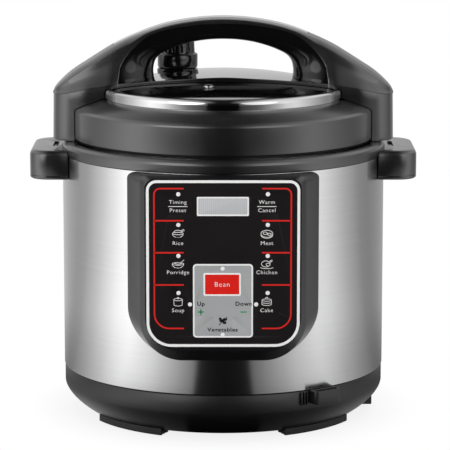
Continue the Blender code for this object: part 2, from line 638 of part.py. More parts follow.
def build_handle():
    stations = [-0.0872, -0.0830, -0.0750, -0.0650, -0.0550, -0.0412, -0.0250, 0.0]
    stations += [-x for x in reversed(stations[:-1])]
    outer = [0.0874, 0.0960, 0.1080, 0.1260, 0.1261, 0.1325, 0.1389, 0.1443, 0.1477, 0.1490, 0.1498]
    xs = [-x for x in reversed(outer)] + stations + outer
    xs += [INLAY_FROM, INLAY_FROM + 0.0002, INLAY_TO, INLAY_TO + 0.0002]
    xs = sorted(set(xs))
    rings = []
    for x in xs:
        inside = INLAY_FROM < x < INLAY_TO + 0.0001
        if abs(x) <= 0.0872:
            low = SPLIT(x)
        elif abs(x) <= 0.1260:
            low = LOWER_LINE(x) + GAP
        else:
            low = POST_LOW
        rings.append(shell_ring(x, low, inside))
    shell = loft("handle_shell", rings, "black")
    drum = [(0.0, 0.20), (0.1337, 0.20), (0.1337, 0.2858), (0.0, 0.2858)]
    boolean(shell, lathe("lid_drum", drum, None, helper=True))

    rings = []
    for k in range(13):
        x = INLAY_FROM + 0.0006 + (INLAY_TO - INLAY_FROM - 0.0010) * k / 12
        top = min(ARCH_TOP(x), 0.3505)
        w = INLAY_HALF - GAP
        section = [(-w, top - 0.0004), (0.0, top), (w, top - 0.0004)]
        section += [(w, top - 0.0013), (0.0, top - 0.0009), (-w, top - 0.0013)]
        rings.append([(x, y, z) for y, z in section])
    loft("handle_inlay", rings, "gloss")

    xs = [0.0, 0.0222, 0.0412, 0.0518, 0.0571, 0.0610, 0.0622, 0.0627, 0.0700, 0.0780, 0.0830]
    xs.append(0.0868)
    xs = [-x for x in reversed(xs[1:])] + xs
    rings = []
    for x in xs:
        top = SPLIT(x) - 0.0006
        low = GRIP_UNDER(x) if abs(x) <= 0.0622 else LOWER_LINE(x) + GAP
        b = LOW_HALF(x) - 0.0006
        mid = (top + low) / 2
        e = min(0.004, (top - low) / 3)
        half = [(b * 0.60, top), (b, top), (b, mid), (b - e * 0.4, low + e), (b * 0.72, low)]
        ring = [(x, y, z) for y, z in half] + [(x, -y, z) for y, z in reversed(half)]
        rings.append(ring)
    loft("handle_grip", rings, "gloss")

    under = [(0.0920, 0.2922), (0.1000, 0.2902), (0.1086, 0.2902), (0.1092, 0.2820)]
    under += [(0.1250, 0.2762), (0.1262, 0.2758), (0.1333, 0.2712)]
    for name, side in (("handle_seat_right", 1), ("handle_seat_left", -1)):
        rows = []
        for r, _ in under:
            rows.append([(side * math.sqrt(r * r - y * y), y) for y in
                         (0.036, 0.024, 0.0001, -0.024, -0.036)])

        def seat_low(x, y):
            r = math.hypot(x, y)
            return min(under, key=lambda p: abs(p[0] - r))[1]

        def seat_high(x, y):
            r = math.hypot(x, y)
            return 0.2855 if r > 0.1258 else LOWER_LINE(x) - 0.0001

        slab(name, rows, seat_low, seat_high, "black")

    bar_top = curve([(0.0, 0.3026), (0.0310, 0.3010), (0.0620, 0.2980), (0.0750, 0.2961),
                     (0.0840, 0.2946)])
    rows = []
    for i in range(-6, 7):
        x = 0.0140 * i
        front = -0.0550 + 0.0205 * (x / 0.084) ** 2
        rows.append([(x, front), (x, front + 0.0035), (x, front + 0.0070)])
    slab("handle_bridge", rows, lambda x, y: dome_z(math.hypot(x, y)) + 0.0005,
         lambda x, y: bar_top(x), "black")


def build_valves():
    at = (VALVE_X, VALVE_Y)
    profile = [(0.0014, 0.2900), (0.0050, 0.2900), (0.0050, 0.3080), (0.0038, 0.3110)]
    profile += [(0.0014, 0.3110)]
    lathe("vent_pipe", profile, "chrome", 16, at)
    profile = [(0.0056, 0.3005), (0.0165, 0.3005), (0.0180, 0.3020), (0.0180, 0.3125)]
    profile += [(0.0155, 0.3135), (0.0150, 0.3290), (0.0130, 0.3302), (0.0, 0.3302)]
    profile += [(0.0, 0.3125), (0.0056, 0.3125)]
    knob = lathe("exhaust_valve", profile, "black", 24, at)
    grooves = []
    for k in range(6):
        a = math.radians(30 + 60 * k)
        cx = VALVE_X + 0.0156 * math.cos(a)
        cy = VALVE_Y + 0.0156 * math.sin(a)
        grooves.append(((cx - 0.0014, cy - 0.0014, 0.3150), (cx + 0.0014, cy + 0.0014, 0.34)))
    boolean(knob, boxes("knob_grooves", grooves))
    set_origin(knob, (VALVE_X, VALVE_Y, 0.3005))
    profile = [(0.0055, 0.2925), (0.0120, 0.2905), (0.0120, 0.2800), (0.0, 0.2800)]
    profile += [(0.0, 0.2812), (0.0106, 0.2812), (0.0106, 0.2893), (0.0055, 0.2910)]
    shield = lathe("anti_block_shield", profile, "steel", 20, at)
    slots = []
    for y in (-0.006, 0.0, 0.006):
        slots.append(((VALVE_X - 0.02, VALVE_Y + y - 0.001, 0.2825),
                      (VALVE_X + 0.02, VALVE_Y + y + 0.001, 0.2880)))
    boolean(shield, boxes("shield_slots", slots))
    z = dome_z(math.hypot(FLOAT_X, FLOAT_Y))
    at = (FLOAT_X, FLOAT_Y)
    profile = [(0.0, z + 0.0030), (0.0045, z + 0.0030), (0.0050, z + 0.0024)]
    profile += [(0.0050, z + 0.0014), (0.0032, z + 0.0014), (0.0032, z - 0.0140)]
    profile += [(0.0, z - 0.0140)]
    pin = lathe("float_valve", profile, "chrome", 16, at)
    set_origin(pin, (FLOAT_X, FLOAT_Y, z))
    profile = [(0.0035, z - 0.0100), (0.0060, z - 0.0100), (0.0060, z - 0.0125)]
    profile += [(0.0035, z - 0.0125)]
    lathe("float_seal", profile, "silicone", 16, at)


clear_scene()
build_shell()
build_base()
build_feet()
build_ring()
build_ears()
build_pots()
build_heating()
build_electrics()
build_panel()
build_fittings()
build_lid()
build_handle()
build_valves()
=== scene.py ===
"""Looks for the electric pressure cooker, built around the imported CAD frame.

Sizes are in metres, +Z is up and the control panel faces -Y.
"""
import math

import bmesh
import bpy
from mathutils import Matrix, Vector
from mathutils.geometry import tessellate_polygon


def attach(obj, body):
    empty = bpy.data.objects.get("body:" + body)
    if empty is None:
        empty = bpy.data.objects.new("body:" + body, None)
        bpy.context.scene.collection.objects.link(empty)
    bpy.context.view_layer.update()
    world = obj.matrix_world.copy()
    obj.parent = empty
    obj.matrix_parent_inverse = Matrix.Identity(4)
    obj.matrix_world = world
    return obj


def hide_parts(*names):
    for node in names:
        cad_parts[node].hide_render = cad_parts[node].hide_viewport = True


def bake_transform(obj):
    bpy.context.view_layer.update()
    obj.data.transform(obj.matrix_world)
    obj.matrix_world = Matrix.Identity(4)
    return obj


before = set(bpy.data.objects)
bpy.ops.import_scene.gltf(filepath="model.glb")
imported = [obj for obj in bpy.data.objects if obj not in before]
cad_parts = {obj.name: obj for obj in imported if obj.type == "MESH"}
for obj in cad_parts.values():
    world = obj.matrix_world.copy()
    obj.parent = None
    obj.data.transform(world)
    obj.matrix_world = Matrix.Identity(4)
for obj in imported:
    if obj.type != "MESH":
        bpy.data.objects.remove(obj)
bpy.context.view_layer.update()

# Sizes shared with the CAD, in metres
SHELL_R = 0.142
SHELL_LOW, SHELL_HIGH = 0.0427, 0.2315
BOWL_R, BOWL_IN_R = 0.1415, 0.0744
BOWL_HIGH, BOWL_DEEP, BOWL_POWER = 0.0265, -0.0117, 1.5585
EAR_OUT = 0.169
DOME_TOP, DOME_RADIUS = 0.3025, 0.377
VALVE_X, VALVE_Y = -0.0409, 0.041
FLOAT_X, FLOAT_Y = -0.0124, -0.068
HOLDER_TURN = 36.5  # degrees from the front to the spoon holder
FILM_Y, FILM_BACK = -0.1499, -0.1486
PRINT_Y, PRINT_BACK = -0.14996, -0.14988
INK_HALF = 0.00004  # half the thickness of a printed letter
CAPITAL = 0.7  # height of the font's capitals against its size
FINE = 160  # steps round a full turn


# ---------------------------------------------------------------- materials


def new_material(name):
    mat = bpy.data.materials.new(name)
    mat.use_nodes = True
    return mat, mat.node_tree, mat.node_tree.nodes["Principled BSDF"]


def add(tree, kind, **values):
    """A node with its settings: plain names are properties, in_X is the socket X."""
    node = tree.nodes.new(kind)
    for key, value in values.items():
        if not key.startswith("in_"):
            setattr(node, key, value)
            continue
        socket = key[3:]
        target = node.inputs[int(socket)] if socket.isdigit() else node.inputs[socket]
        if isinstance(value, bpy.types.NodeSocket):
            tree.links.new(value, target)
        else:
            target.default_value = value
    return node


def object_coords(tree):
    return add(tree, "ShaderNodeTexCoord").outputs["Object"]


def scaled(tree, vector, scale):
    node = add(tree, "ShaderNodeVectorMath", operation="MULTIPLY", in_0=vector, in_1=scale)
    return node.outputs[0]


def calc(tree, operation, first, second=0.0):
    return add(tree, "ShaderNodeMath", operation=operation, in_0=first, in_1=second).outputs[0]


def around(tree, radius):
    """Coordinates that run round the vertical axis: (arc length, height, radius)."""
    parts = add(tree, "ShaderNodeSeparateXYZ", in_0=object_coords(tree))
    forward = calc(tree, "MULTIPLY", parts.outputs[1], -1.0)
    angle = calc(tree, "ARCTAN2", parts.outputs[0], forward)
    flat = add(tree, "ShaderNodeCombineXYZ", in_0=parts.outputs[0], in_1=parts.outputs[1])
    length = add(tree, "ShaderNodeVectorMath", operation="LENGTH", in_0=flat.outputs[0])
    out = add(tree, "ShaderNodeCombineXYZ", in_0=calc(tree, "MULTIPLY", angle, radius),
              in_1=parts.outputs[2], in_2=length.outputs["Value"])
    return out.outputs[0]


def noise(tree, vector, scale, detail=3.0, rough=0.5):
    node = add(tree, "ShaderNodeTexNoise", in_Vector=vector, in_Scale=scale, in_Detail=detail,
               in_Roughness=rough)
    return node.outputs["Fac"]


def spread(tree, value, low, high, out_low, out_high):
    node = add(tree, "ShaderNodeMapRange", in_0=value, in_1=low, in_2=high, in_3=out_low,
               in_4=out_high)
    return node.outputs[0]


def mixed(tree, factor, first, second):
    node = add(tree, "ShaderNodeMix", data_type="RGBA")
    tree.links.new(factor, node.inputs["Factor"])
    for socket, value in ((node.inputs[6], first), (node.inputs[7], second)):
        if isinstance(value, bpy.types.NodeSocket):
            tree.links.new(value, socket)
        else:
            socket.default_value = (*value, 1.0)
    return node.outputs[2]


def bumped(tree, shader, height, distance):
    node = add(tree, "ShaderNodeBump", in_Height=height, in_Distance=distance, in_Strength=1.0)
    tree.links.new(node.outputs[0], shader.inputs["Normal"])


def tint(tree, shader, value, dark, light, low=0.3):
    """Base colour that runs from dark to light with a value."""
    tree.links.new(mixed(tree, spread(tree, value, low, 0.7, 0.0, 1.0), dark, light),
                   shader.inputs["Base Color"])


def polish(tree, shader, value, rough, low=0.3, high=0.7):
    """Roughness that runs between two numbers with a value."""
    tree.links.new(spread(tree, value, low, high, *rough), shader.inputs["Roughness"])


def plastic(name, dark, light, rough, grain=2600.0, depth=0.000012, coat=0.0, level=0.5):
    """Moulded plastic: fine grain, faint cloudiness in colour and gloss."""
    mat, tree, shader = new_material(name)
    at = object_coords(tree)
    cloud = noise(tree, at, 16.0, 4.0, 0.55)
    fine = noise(tree, at, grain, 2.0, 0.6)
    smear = noise(tree, scaled(tree, at, (1.0, 1.0, 0.35)), 55.0, 4.0, 0.6)
    tint(tree, shader, cloud, dark, light)
    polish(tree, shader, smear, rough, 0.25, 0.75)
    bumped(tree, shader, fine, depth)
    shader.inputs["Specular IOR Level"].default_value = level
    shader.inputs["Coat Weight"].default_value = coat
    shader.inputs["Coat Roughness"].default_value = 0.5 * (rough[0] + rough[1])
    return mat


def brushed(name, dark, light, rough, radius, stretch=(3.0, 4200.0, 3.0), depth=0.0000006,
            anisotropy=0.7):
    """Metal brushed in lines round the vertical axis."""
    mat, tree, shader = new_material(name)
    at = around(tree, radius)
    line = noise(tree, scaled(tree, at, stretch), 1.0, 4.0, 0.6)
    tint(tree, shader, line, dark, light)
    polish(tree, shader, line, rough)
    shader.inputs["Metallic"].default_value = 1.0
    shader.inputs["Anisotropic"].default_value = anisotropy
    shader.inputs["Anisotropic Rotation"].default_value = 0.25
    tangent = add(tree, "ShaderNodeTangent", direction_type="RADIAL", axis="Z")
    tree.links.new(tangent.outputs[0], shader.inputs["Tangent"])
    bumped(tree, shader, line, depth)
    return mat


def polished(name, dark, light, rough, rings=0.0):
    """Bright metal with faint turning rings and wiping marks."""
    mat, tree, shader = new_material(name)
    at = around(tree, 0.05)
    ring = noise(tree, scaled(tree, at, (2.0, 500.0, 1100.0)), 1.0, 4.0, 0.6)
    wipe = noise(tree, object_coords(tree), 30.0, 5.0, 0.6)
    tint(tree, shader, wipe, dark, light)
    polish(tree, shader, wipe, rough)
    shader.inputs["Metallic"].default_value = 1.0
    bumped(tree, shader, ring, 0.000002 + 0.000004 * rings)
    return mat


def ink(name, colour):
    """Screen-printed ink with the faint mesh of the print screen."""
    mat, tree, shader = new_material(name)
    patch = noise(tree, object_coords(tree), 900.0, 2.0, 0.5)
    tint(tree, shader, patch, colour, tuple(c * 0.86 for c in colour), 0.35)
    polish(tree, shader, patch, (0.39, 0.51))
    bumped(tree, shader, patch, 0.000006)
    return mat


def display_face(name):
    """Grey display glass over fine vertical segment lines."""
    mat, tree, shader = new_material(name)
    at = object_coords(tree)
    wave = add(tree, "ShaderNodeTexWave", wave_type="BANDS", bands_direction="X", in_Vector=at,
               in_Scale=190.0, in_Distortion=0.0)
    cloud = noise(tree, at, 60.0, 3.0, 0.5)
    stripes = mixed(tree, spread(tree, wave.outputs["Fac"], 0.3, 0.7, 0.0, 1.0),
                    (0.42, 0.43, 0.44), (0.55, 0.56, 0.57))
    tree.links.new(mixed(tree, spread(tree, cloud, 0.3, 0.7, 0.0, 0.35), stripes,
                         (0.48, 0.49, 0.5)), shader.inputs["Base Color"])
    polish(tree, shader, cloud, (0.18, 0.26))
    return mat


def translucent(name, colour, alpha, rough=(0.08, 0.16)):
    """Clear moulded plastic with a slight haze."""
    mat, tree, shader = new_material(name)
    haze = noise(tree, object_coords(tree), 70.0, 4.0, 0.55)
    tint(tree, shader, haze, colour, tuple(c * 0.93 for c in colour))
    polish(tree, shader, haze, rough)
    shader.inputs["Alpha"].default_value = alpha
    bumped(tree, shader, haze, 0.00001)
    return mat


def circuit(name):
    """Green board lacquer with copper tracks and a grid of solder points."""
    mat, tree, shader = new_material(name)
    at = object_coords(tree)
    cells = add(tree, "ShaderNodeTexVoronoi", distance="MANHATTAN", feature="DISTANCE_TO_EDGE",
                in_Vector=at, in_Scale=210.0)
    dots = add(tree, "ShaderNodeTexVoronoi", in_Vector=at, in_Scale=320.0)
    tracks = mixed(tree, spread(tree, cells.outputs["Distance"], 0.04, 0.07, 0.0, 1.0),
                   (0.08, 0.3, 0.1), (0.02, 0.13, 0.05))
    tree.links.new(mixed(tree, spread(tree, dots.outputs["Distance"], 0.12, 0.16, 0.0, 1.0),
                         (0.55, 0.55, 0.52), tracks), shader.inputs["Base Color"])
    shader.inputs["Roughness"].default_value = 0.35
    bumped(tree, shader, cells.outputs["Distance"], 0.00003)
    return mat


def shades(dark, dark_blue, light, light_blue):
    """Two greys, each with its own amount of blue."""
    return (dark, dark, dark_blue), (light, light, light_blue)


SATIN = shades(0.0048, 0.0052, 0.0064, 0.007)
METAL = shades(0.46, 0.465, 0.56, 0.565)
LOOKS = {  # look: (slot of the record, material)
    "shell": ("shell_steel", brushed(
        "shell_steel", *shades(0.55, 0.555, 0.6, 0.605), (0.16, 0.21), SHELL_R)),
    "dome": ("lid_chrome", polished(
        "lid_chrome", *shades(0.54, 0.545, 0.6, 0.605), (0.05, 0.09), 1.0)),
    "steel": ("bright_steel", polished("bright_steel", *METAL, (0.16, 0.26))),
    "alloy": ("pot_aluminium", brushed(
        "pot_aluminium", *METAL, (0.28, 0.38), 0.11, (4.0, 900.0, 900.0), 0.000004, 0.3)),
    "coating": ("pot_aluminium", plastic(
        "pot_coating", (0.03, 0.031, 0.033), (0.048, 0.049, 0.051), (0.32, 0.46), 1800.0,
        0.00003)),
    "black": ("black_plastic", plastic("satin_black", *SATIN, (0.22, 0.28), coat=0.55, level=1.0)),
    "base": ("black_plastic", plastic("base_black", *SATIN, (0.3, 0.38))),
    "frame": ("black_plastic", plastic("frame_black", *SATIN, (0.22, 0.28), coat=0.15, level=0.6)),
    "bar": ("black_plastic", plastic(
        "bar_black", *shades(0.004, 0.0044, 0.0056, 0.0062), (0.1, 0.16), 1800.0, 0.000006, 0.2,
        0.35)),
    "gloss": ("gloss_black", plastic(
        "gloss_black", *shades(0.003, 0.0034, 0.0042, 0.0047), (0.05, 0.09), 900.0, 0.000003, 1.0,
        1.0)),
    "knob": ("gloss_black", plastic(
        "knob_black", *shades(0.0036, 0.004, 0.005, 0.0055), (0.12, 0.18), 900.0, 0.000003, 0.3,
        0.6)),
    "lining": ("gloss_black", plastic(
        "lining_black", *shades(0.0026, 0.003, 0.0036, 0.004), (0.09, 0.13), 900.0, 0.000003,
        0.2, 0.3)),
    "film": ("gloss_black", plastic(
        "panel_film", (0.0072, 0.0058, 0.006), (0.009, 0.0074, 0.0076), (0.4, 0.48), 3000.0,
        0.000004, level=0.2)),
    "rubber": ("foot_rubber", plastic(
        "foot_rubber", *shades(0.012, 0.012, 0.018, 0.018), (0.7, 0.85), 1500.0, 0.00004)),
    "silicone": ("silicone", plastic(
        "silicone", *shades(0.62, 0.6, 0.7, 0.68), (0.45, 0.58), 1200.0, 0.00002)),
    "grey": ("grey_plastic", plastic(
        "panel_grey", (0.34, 0.345, 0.35), (0.38, 0.385, 0.39), (0.38, 0.46), 3000.0, 0.000004)),
    "red": ("red_plastic", plastic(
        "key_red", (0.66, 0.01, 0.006), (0.71, 0.014, 0.009), (0.34, 0.42), 3000.0, 0.000004)),
    "board": ("circuit_board", circuit("circuit_board")),
    "display": ("grey_plastic", display_face("display_face")),
    "cup": ("clear_plastic", translucent("cup_plastic", (0.72, 0.77, 0.82), 0.42)),
    "guide": ("clear_plastic", translucent("light_guide", (0.92,) * 3, 1.0, (0.28, 0.36))),
    "ink_white": ("grey_plastic", ink("ink_white", (0.88, 0.88, 0.87))),
    "ink_red": ("red_plastic", ink("ink_red", (0.66, 0.012, 0.008))),
    "ink_green": ("grey_plastic", ink("ink_green", (0.012, 0.29, 0.1))),
    "ink_black": ("gloss_black", ink("ink_black", (0.003,) * 3)),
    "brass": ("bright_steel", polished(
        "terminal_brass", (0.6, 0.45, 0.2), (0.7, 0.54, 0.26), (0.18, 0.28))),
}


# ---------------------------------------------------------------- mesh helpers


def tenths(*flat, lift=0.0):
    """Points from sizes in tenths of a millimetre, two to a point, lifted by a height."""
    return [(a / 10000, b / 10000 + lift) for a, b in zip(flat[::2], flat[1::2])]


def dress(obj, look):
    """Gives a piece its look's material."""
    slot, material = LOOKS[look]
    obj.data.materials.append(material)


def settle(obj, body, *nodes):
    """The piece rides on a body, and stands for the CAD nodes named."""
    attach(obj, body)
    if nodes:
        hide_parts(*nodes)


def make(name, verts, faces, look=None, body=None, stands_for=(), sharp=32):
    """A mesh object from points and faces, with its look, body and the nodes it stands for."""
    mesh = bpy.data.meshes.new(name)
    mesh.from_pydata([tuple(v) for v in verts], [], faces)
    work = bmesh.new()
    work.from_mesh(mesh)
    bmesh.ops.recalc_face_normals(work, faces=work.faces)
    work.to_mesh(mesh)
    work.free()
    obj = bpy.data.objects.new(name, mesh)
    bpy.context.scene.collection.objects.link(obj)
    smooth(obj, sharp)
    if look:
        dress(obj, look)
    if body:
        settle(obj, body, *stands_for)
    return obj


def smooth(obj, sharp=32):
    obj.data.shade_smooth()
    obj.data.set_sharp_from_angle(angle=math.radians(sharp))


def bake(obj, sharp=32):
    """Applies the object's modifiers to its mesh."""
    graph = bpy.context.evaluated_depsgraph_get()
    mesh = bpy.data.meshes.new_from_object(obj.evaluated_get(graph))
    obj.modifiers.clear()
    obj.data = mesh
    smooth(obj, sharp)
    return obj


def cut(obj, *cutters, operation="DIFFERENCE"):
    for cutter in cutters:
        modifier = obj.modifiers.new("cut", "BOOLEAN")
        modifier.operation = operation
        modifier.solver = "EXACT"
        modifier.object = cutter
    bake(obj)
    for cutter in cutters:
        bpy.data.objects.remove(cutter)
    return obj


def bevel(obj, width, segments=2, angle=50, sharp=38):
    modifier = obj.modifiers.new("edges", "BEVEL")
    modifier.width = width
    modifier.segments = segments
    modifier.limit_method = "ANGLE"
    modifier.angle_limit = math.radians(angle)
    modifier.harden_normals = False
    return bake(obj, sharp)


def polar(r, a, z, centre=(0.0, 0.0)):
    return (centre[0] + r * math.cos(a), centre[1] + r * math.sin(a), z)


def lathe(name, profile, steps=FINE, centre=(0.0, 0.0), **about):
    """A closed (radius, height) profile turned about a vertical axis. Radius 0 makes a pole."""
    verts = []
    columns = []
    for r, z in profile:
        if r == 0:
            columns.append([len(verts)] * steps)
            verts.append((centre[0], centre[1], z))
            continue
        columns.append(list(range(len(verts), len(verts) + steps)))
        for i in range(steps):
            verts.append(polar(r, 2 * math.pi * i / steps, z, centre))
    faces = []
    for k, here in enumerate(columns):
        there = columns[(k + 1) % len(columns)]
        for i in range(steps):
            j = (i + 1) % steps
            corners = list(dict.fromkeys([here[i], here[j], there[j], there[i]]))
            if len(corners) > 2:
                faces.append(corners)
    return make(name, verts, faces, **about)


def soften(profile, radius, steps=3):
    """Rounds the corners of a closed profile, except at the poles."""
    out = []
    n = len(profile)
    for i, p in enumerate(profile):
        here = Vector(p)
        before, after = Vector(profile[i - 1]), Vector(profile[(i + 1) % n])
        into, away = here - before, after - here
        turn = into.angle(away, 0.0)
        if p[0] == 0 or min(into.length, away.length) < 1e-6 or turn < math.radians(12):
            out.append(p)
            continue
        reach = min(radius * math.tan(turn / 2), into.length * 0.45, away.length * 0.45)
        start = here - into.normalized() * reach
        end = here + away.normalized() * reach
        for k in range(steps + 1):
            t = k / steps
            q = start * (1 - t) ** 2 + here * (2 * t * (1 - t)) + end * t ** 2
            out.append((q.x, q.y))
    return out


def loft(name, rings, **about):
    """A skin over rings of equally many points, closed by its first and last ring."""
    n = len(rings[0])
    verts = [p for ring in rings for p in ring]
    faces = [list(range(n)), list(range(len(verts) - n, len(verts)))]
    for k in range(len(rings) - 1):
        for i in range(n):
            j = (i + 1) % n
            faces.append([k * n + i, k * n + j, (k + 1) * n + j, (k + 1) * n + i])
    return make(name, verts, faces, **about)


def tube(name, path, radius, sides, closed=False, **about):
    """A round wire along a path."""
    points = [Vector(p) for p in path]
    count = len(points)
    rings = []
    for i, p in enumerate(points):
        if closed:
            along = points[(i + 1) % count] - points[i - 1]
        else:
            along = points[min(i + 1, count - 1)] - points[max(i - 1, 0)]
        side = along.cross(Vector((0, 0, 1))).normalized()
        up = side.cross(along).normalized()
        rings.append([p + side * (radius * math.cos(2 * math.pi * k / sides))
                      + up * (radius * math.sin(2 * math.pi * k / sides)) for k in range(sides)])
    if not closed:
        return loft(name, rings, **about)
    verts = [p for ring in rings for p in ring]
    faces = []
    for k in range(count):
        m = (k + 1) % count
        for i in range(sides):
            j = (i + 1) % sides
            faces.append([k * sides + i, k * sides + j, m * sides + j, m * sides + i])
    return make(name, verts, faces, **about)


def arc(centre, radius, start, end, count):
    points = []
    for i in range(count + 1):
        a = math.radians(start + (end - start) * i / count)
        points.append((centre[0] + radius * math.cos(a), centre[1] + radius * math.sin(a)))
    return points


def rounded(x0, z0, x1, z1, low_r, high_r=None, count=8):
    """A rectangle with rounded corners, its lower and upper corners by their own radius."""
    high_r = low_r if high_r is None else high_r
    points = arc((x1 - low_r, z0 + low_r), low_r, -90, 0, count)
    points += arc((x1 - high_r, z1 - high_r), high_r, 0, 90, count)
    points += arc((x0 + high_r, z1 - high_r), high_r, 90, 180, count)
    points += arc((x0 + low_r, z0 + low_r), low_r, 180, 270, count)
    return points


def rectangle(x0, z0, x1, z1):
    return [(x0, z0), (x1, z0), (x1, z1), (x0, z1)]


def prism(name, outline, low, high, axis="Z", **about):
    """An outline pushed through a range along one axis."""
    place = {"Z": lambda a, b, c: (a, b, c), "Y": lambda a, b, c: (a, c, b),
             "X": lambda a, b, c: (c, a, b)}[axis]
    return loft(name, [[place(a, b, c) for a, b in outline] for c in (low, high)], **about)


def block(name, low, high, **about):
    return prism(name, rectangle(low[0], low[1], high[0], high[1]), low[2], high[2], **about)


def distinct(points):
    """The same points without any that repeat the one before."""
    clean = [points[0]]
    for p in points[1:]:
        if math.dist(p, clean[-1]) > 1e-5:
            clean.append(p)
    return clean


def catmull(points):
    """A smooth even function of x through (x, value) points."""
    xs, vs = zip(*points)
    n = len(points)
    chords = [(vs[i + 1] - vs[i]) / (xs[i + 1] - xs[i]) for i in range(n - 1)]
    slopes = [0.0]
    for a, b in zip(chords, chords[1:]):
        slopes.append(0.0 if a * b <= 0 else 2 * a * b / (a + b))
    slopes.append(chords[-1])

    def at(x):
        x = min(max(abs(x), xs[0]), xs[-1])
        i = max(k for k in range(n - 1) if xs[k] <= x)
        h = xs[i + 1] - xs[i]
        t = (x - xs[i]) / h
        return ((2 * t ** 3 - 3 * t ** 2 + 1) * vs[i] + (t ** 3 - 2 * t ** 2 + t) * h * slopes[i]
                + (3 * t ** 2 - 2 * t ** 3) * vs[i + 1] + (t ** 3 - t ** 2) * h * slopes[i + 1])

    return at


def bowl_z(r):
    """Height of the base's rounded lower bowl at a radius."""
    ratio = ((r - BOWL_IN_R) / (BOWL_R - BOWL_IN_R)) ** BOWL_POWER
    return BOWL_HIGH + (BOWL_DEEP - BOWL_HIGH) * (1 - ratio) ** (1 / BOWL_POWER)


def dome_z(r):
    return DOME_TOP - r * r / (2 * DOME_RADIUS)


# ---------------------------------------------------------------- body: shell, base, ring, ears


def build_shell():
    profile = [(SHELL_R, SHELL_LOW), (SHELL_R, SHELL_HIGH)]
    profile += [(SHELL_R - 0.001, SHELL_HIGH), (SHELL_R - 0.001, SHELL_LOW)]
    shell = lathe("shell_drum", soften(profile, 0.0005), look="shell", sharp=60)
    cut(shell, block("shell_window", (-0.05, -0.16, 0.1), (0.05, -0.12, 0.215)))
    smooth(shell, 60)
    settle(shell, "base_unit", "outer_shell")


def build_base():
    profile = [(0.0, 0.0042), (0.1205, 0.0042)]
    profile += [(r, bowl_z(r)) for r in (0.1215, 0.124, 0.127, 0.13, 0.133, 0.1355, 0.1375,
                                         0.139, 0.1402, 0.141)]
    profile += [(BOWL_R, BOWL_HIGH), (BOWL_R, 0.0412), (0.1409, 0.042), (0.1404, 0.0424)]
    profile += tenths(1404, 520, 1382, 520, 1382, 290, 1340, 195, 1270, 115, 1190, 67, 0, 67)
    base = lathe("base_bowl", profile, look="base")
    # Vent slots through the bottom, and the notch for the power inlet
    slots = []
    for k in range(-3, 4):
        y = 0.018 * k
        half = 0.04 - 0.004 * abs(k)
        slots.append(prism(f"vent_{k}", rounded(-half, y - 0.0022, half, y + 0.0022, 0.0021),
                           0.0, 0.012))
    notch = block("inlet_notch", (0.0985, -0.0205, -0.01), (0.16, 0.0205, 0.0265))
    cut(base, *slots, notch)
    settle(bevel(base, 0.0005), "base_unit", "base_housing")

    # Each foot is a grooved arc that fits under the bowl
    section = [(0.11, 0.0039), (0.1205, 0.0039), (0.122, bowl_z(0.122) - 0.0002)]
    section += [(0.1245, bowl_z(0.1245) - 0.0002), (0.1245, 0.0), (0.1205, 0.0)]
    section += tenths(1200, 8, 1190, 8, 1185, 0, 1165, 0, 1160, 8, 1150, 8, 1145, 0, 1100, 0)
    for quarter, name in enumerate(("front_right", "rear_right", "rear_left", "front_left")):
        rings = []
        for i in range(25):
            turn = 25.4 + 35.6 * i / 24
            turn = 90 - turn if quarter % 2 else turn
            a = math.radians(-90 + 90 * quarter + turn)
            rings.append([polar(r, a, z) for r, z in section])
        foot = loft("foot_pad_" + name, rings, look="rubber")
        settle(bevel(foot, 0.0007, sharp=35), "base_unit", "foot_" + name)


def build_ring():
    profile = tenths(1425, 2318, 1425, 2385, 1418, 2405, 1404, 2421, 1390, 2430, 1340, 2430,
                     1340, 2294, 1403, 2294, 1403, 2318)
    lathe("rim_ring", soften(profile, 0.0008, 3), look="black", body="base_unit",
          stands_for=["upper_ring"], sharp=45)


def lug_row(name, start, span, inner_r, outer_r, low, high, steps):
    """Six lugs, evenly round the vertical axis."""
    row = []
    for k in range(6):
        turn = 60 * k + start
        outline = arc((0, 0), inner_r, turn, turn + span, steps)
        outline += arc((0, 0), outer_r, turn + span, turn, steps)
        row.append(prism(f"{name}_{k}", outline, low, high))
    return row


def ear_outline(inner_r, outer_x, half, corner):
    span = math.degrees(math.asin(half / inner_r))
    points = arc((0, 0), inner_r, span, -span, 20)
    points += arc((outer_x - corner, -half + corner), corner, -90, 0, 12)
    points += arc((outer_x - corner, half - corner), corner, 0, 90, 12)
    return points


def build_ears():
    for name, side in (("right", 1), ("left", -1)):
        def placed(shape):
            return [(side * x, y) for x, y in shape]

        # The top slopes gently down towards the outer edge
        rings = []
        levels = tenths(2120, 12, 2126, 4, 2136, 0, 2331, 0, 2350, 5, 2363, 16, 2370, 34, 2372, 58)
        for z, inset in levels:
            shape = ear_outline(SHELL_R + 0.0006, EAR_OUT - inset, 0.0465 - inset, 0.016)
            rings.append([(x, y, z) for x, y in placed(shape)])
        ear = loft("ear_" + name, rings, look="black", sharp=40)
        hollow = placed(ear_outline(SHELL_R + 0.0035, EAR_OUT - 0.003, 0.043, 0.013))
        groove = placed(rounded(0.1455, -0.015, 0.15, 0.015, 0.0012))
        lip = placed(ear_outline(SHELL_R - 0.02, EAR_OUT + 0.01, 0.0565, 0.02))
        seam = prism("seam", lip, 0.215, 0.2155)
        keep = placed(ear_outline(SHELL_R - 0.03, EAR_OUT - 0.0006, 0.0459, 0.0155))
        cut(seam, prism("keep", keep, 0.21, 0.22))
        cut(ear, prism("hollow", hollow, 0.2, 0.233), prism("slot", groove, 0.235, 0.25),
            seam)
        settle(bevel(ear, 0.0003, angle=55), "base_unit", "side_handle_" + name)


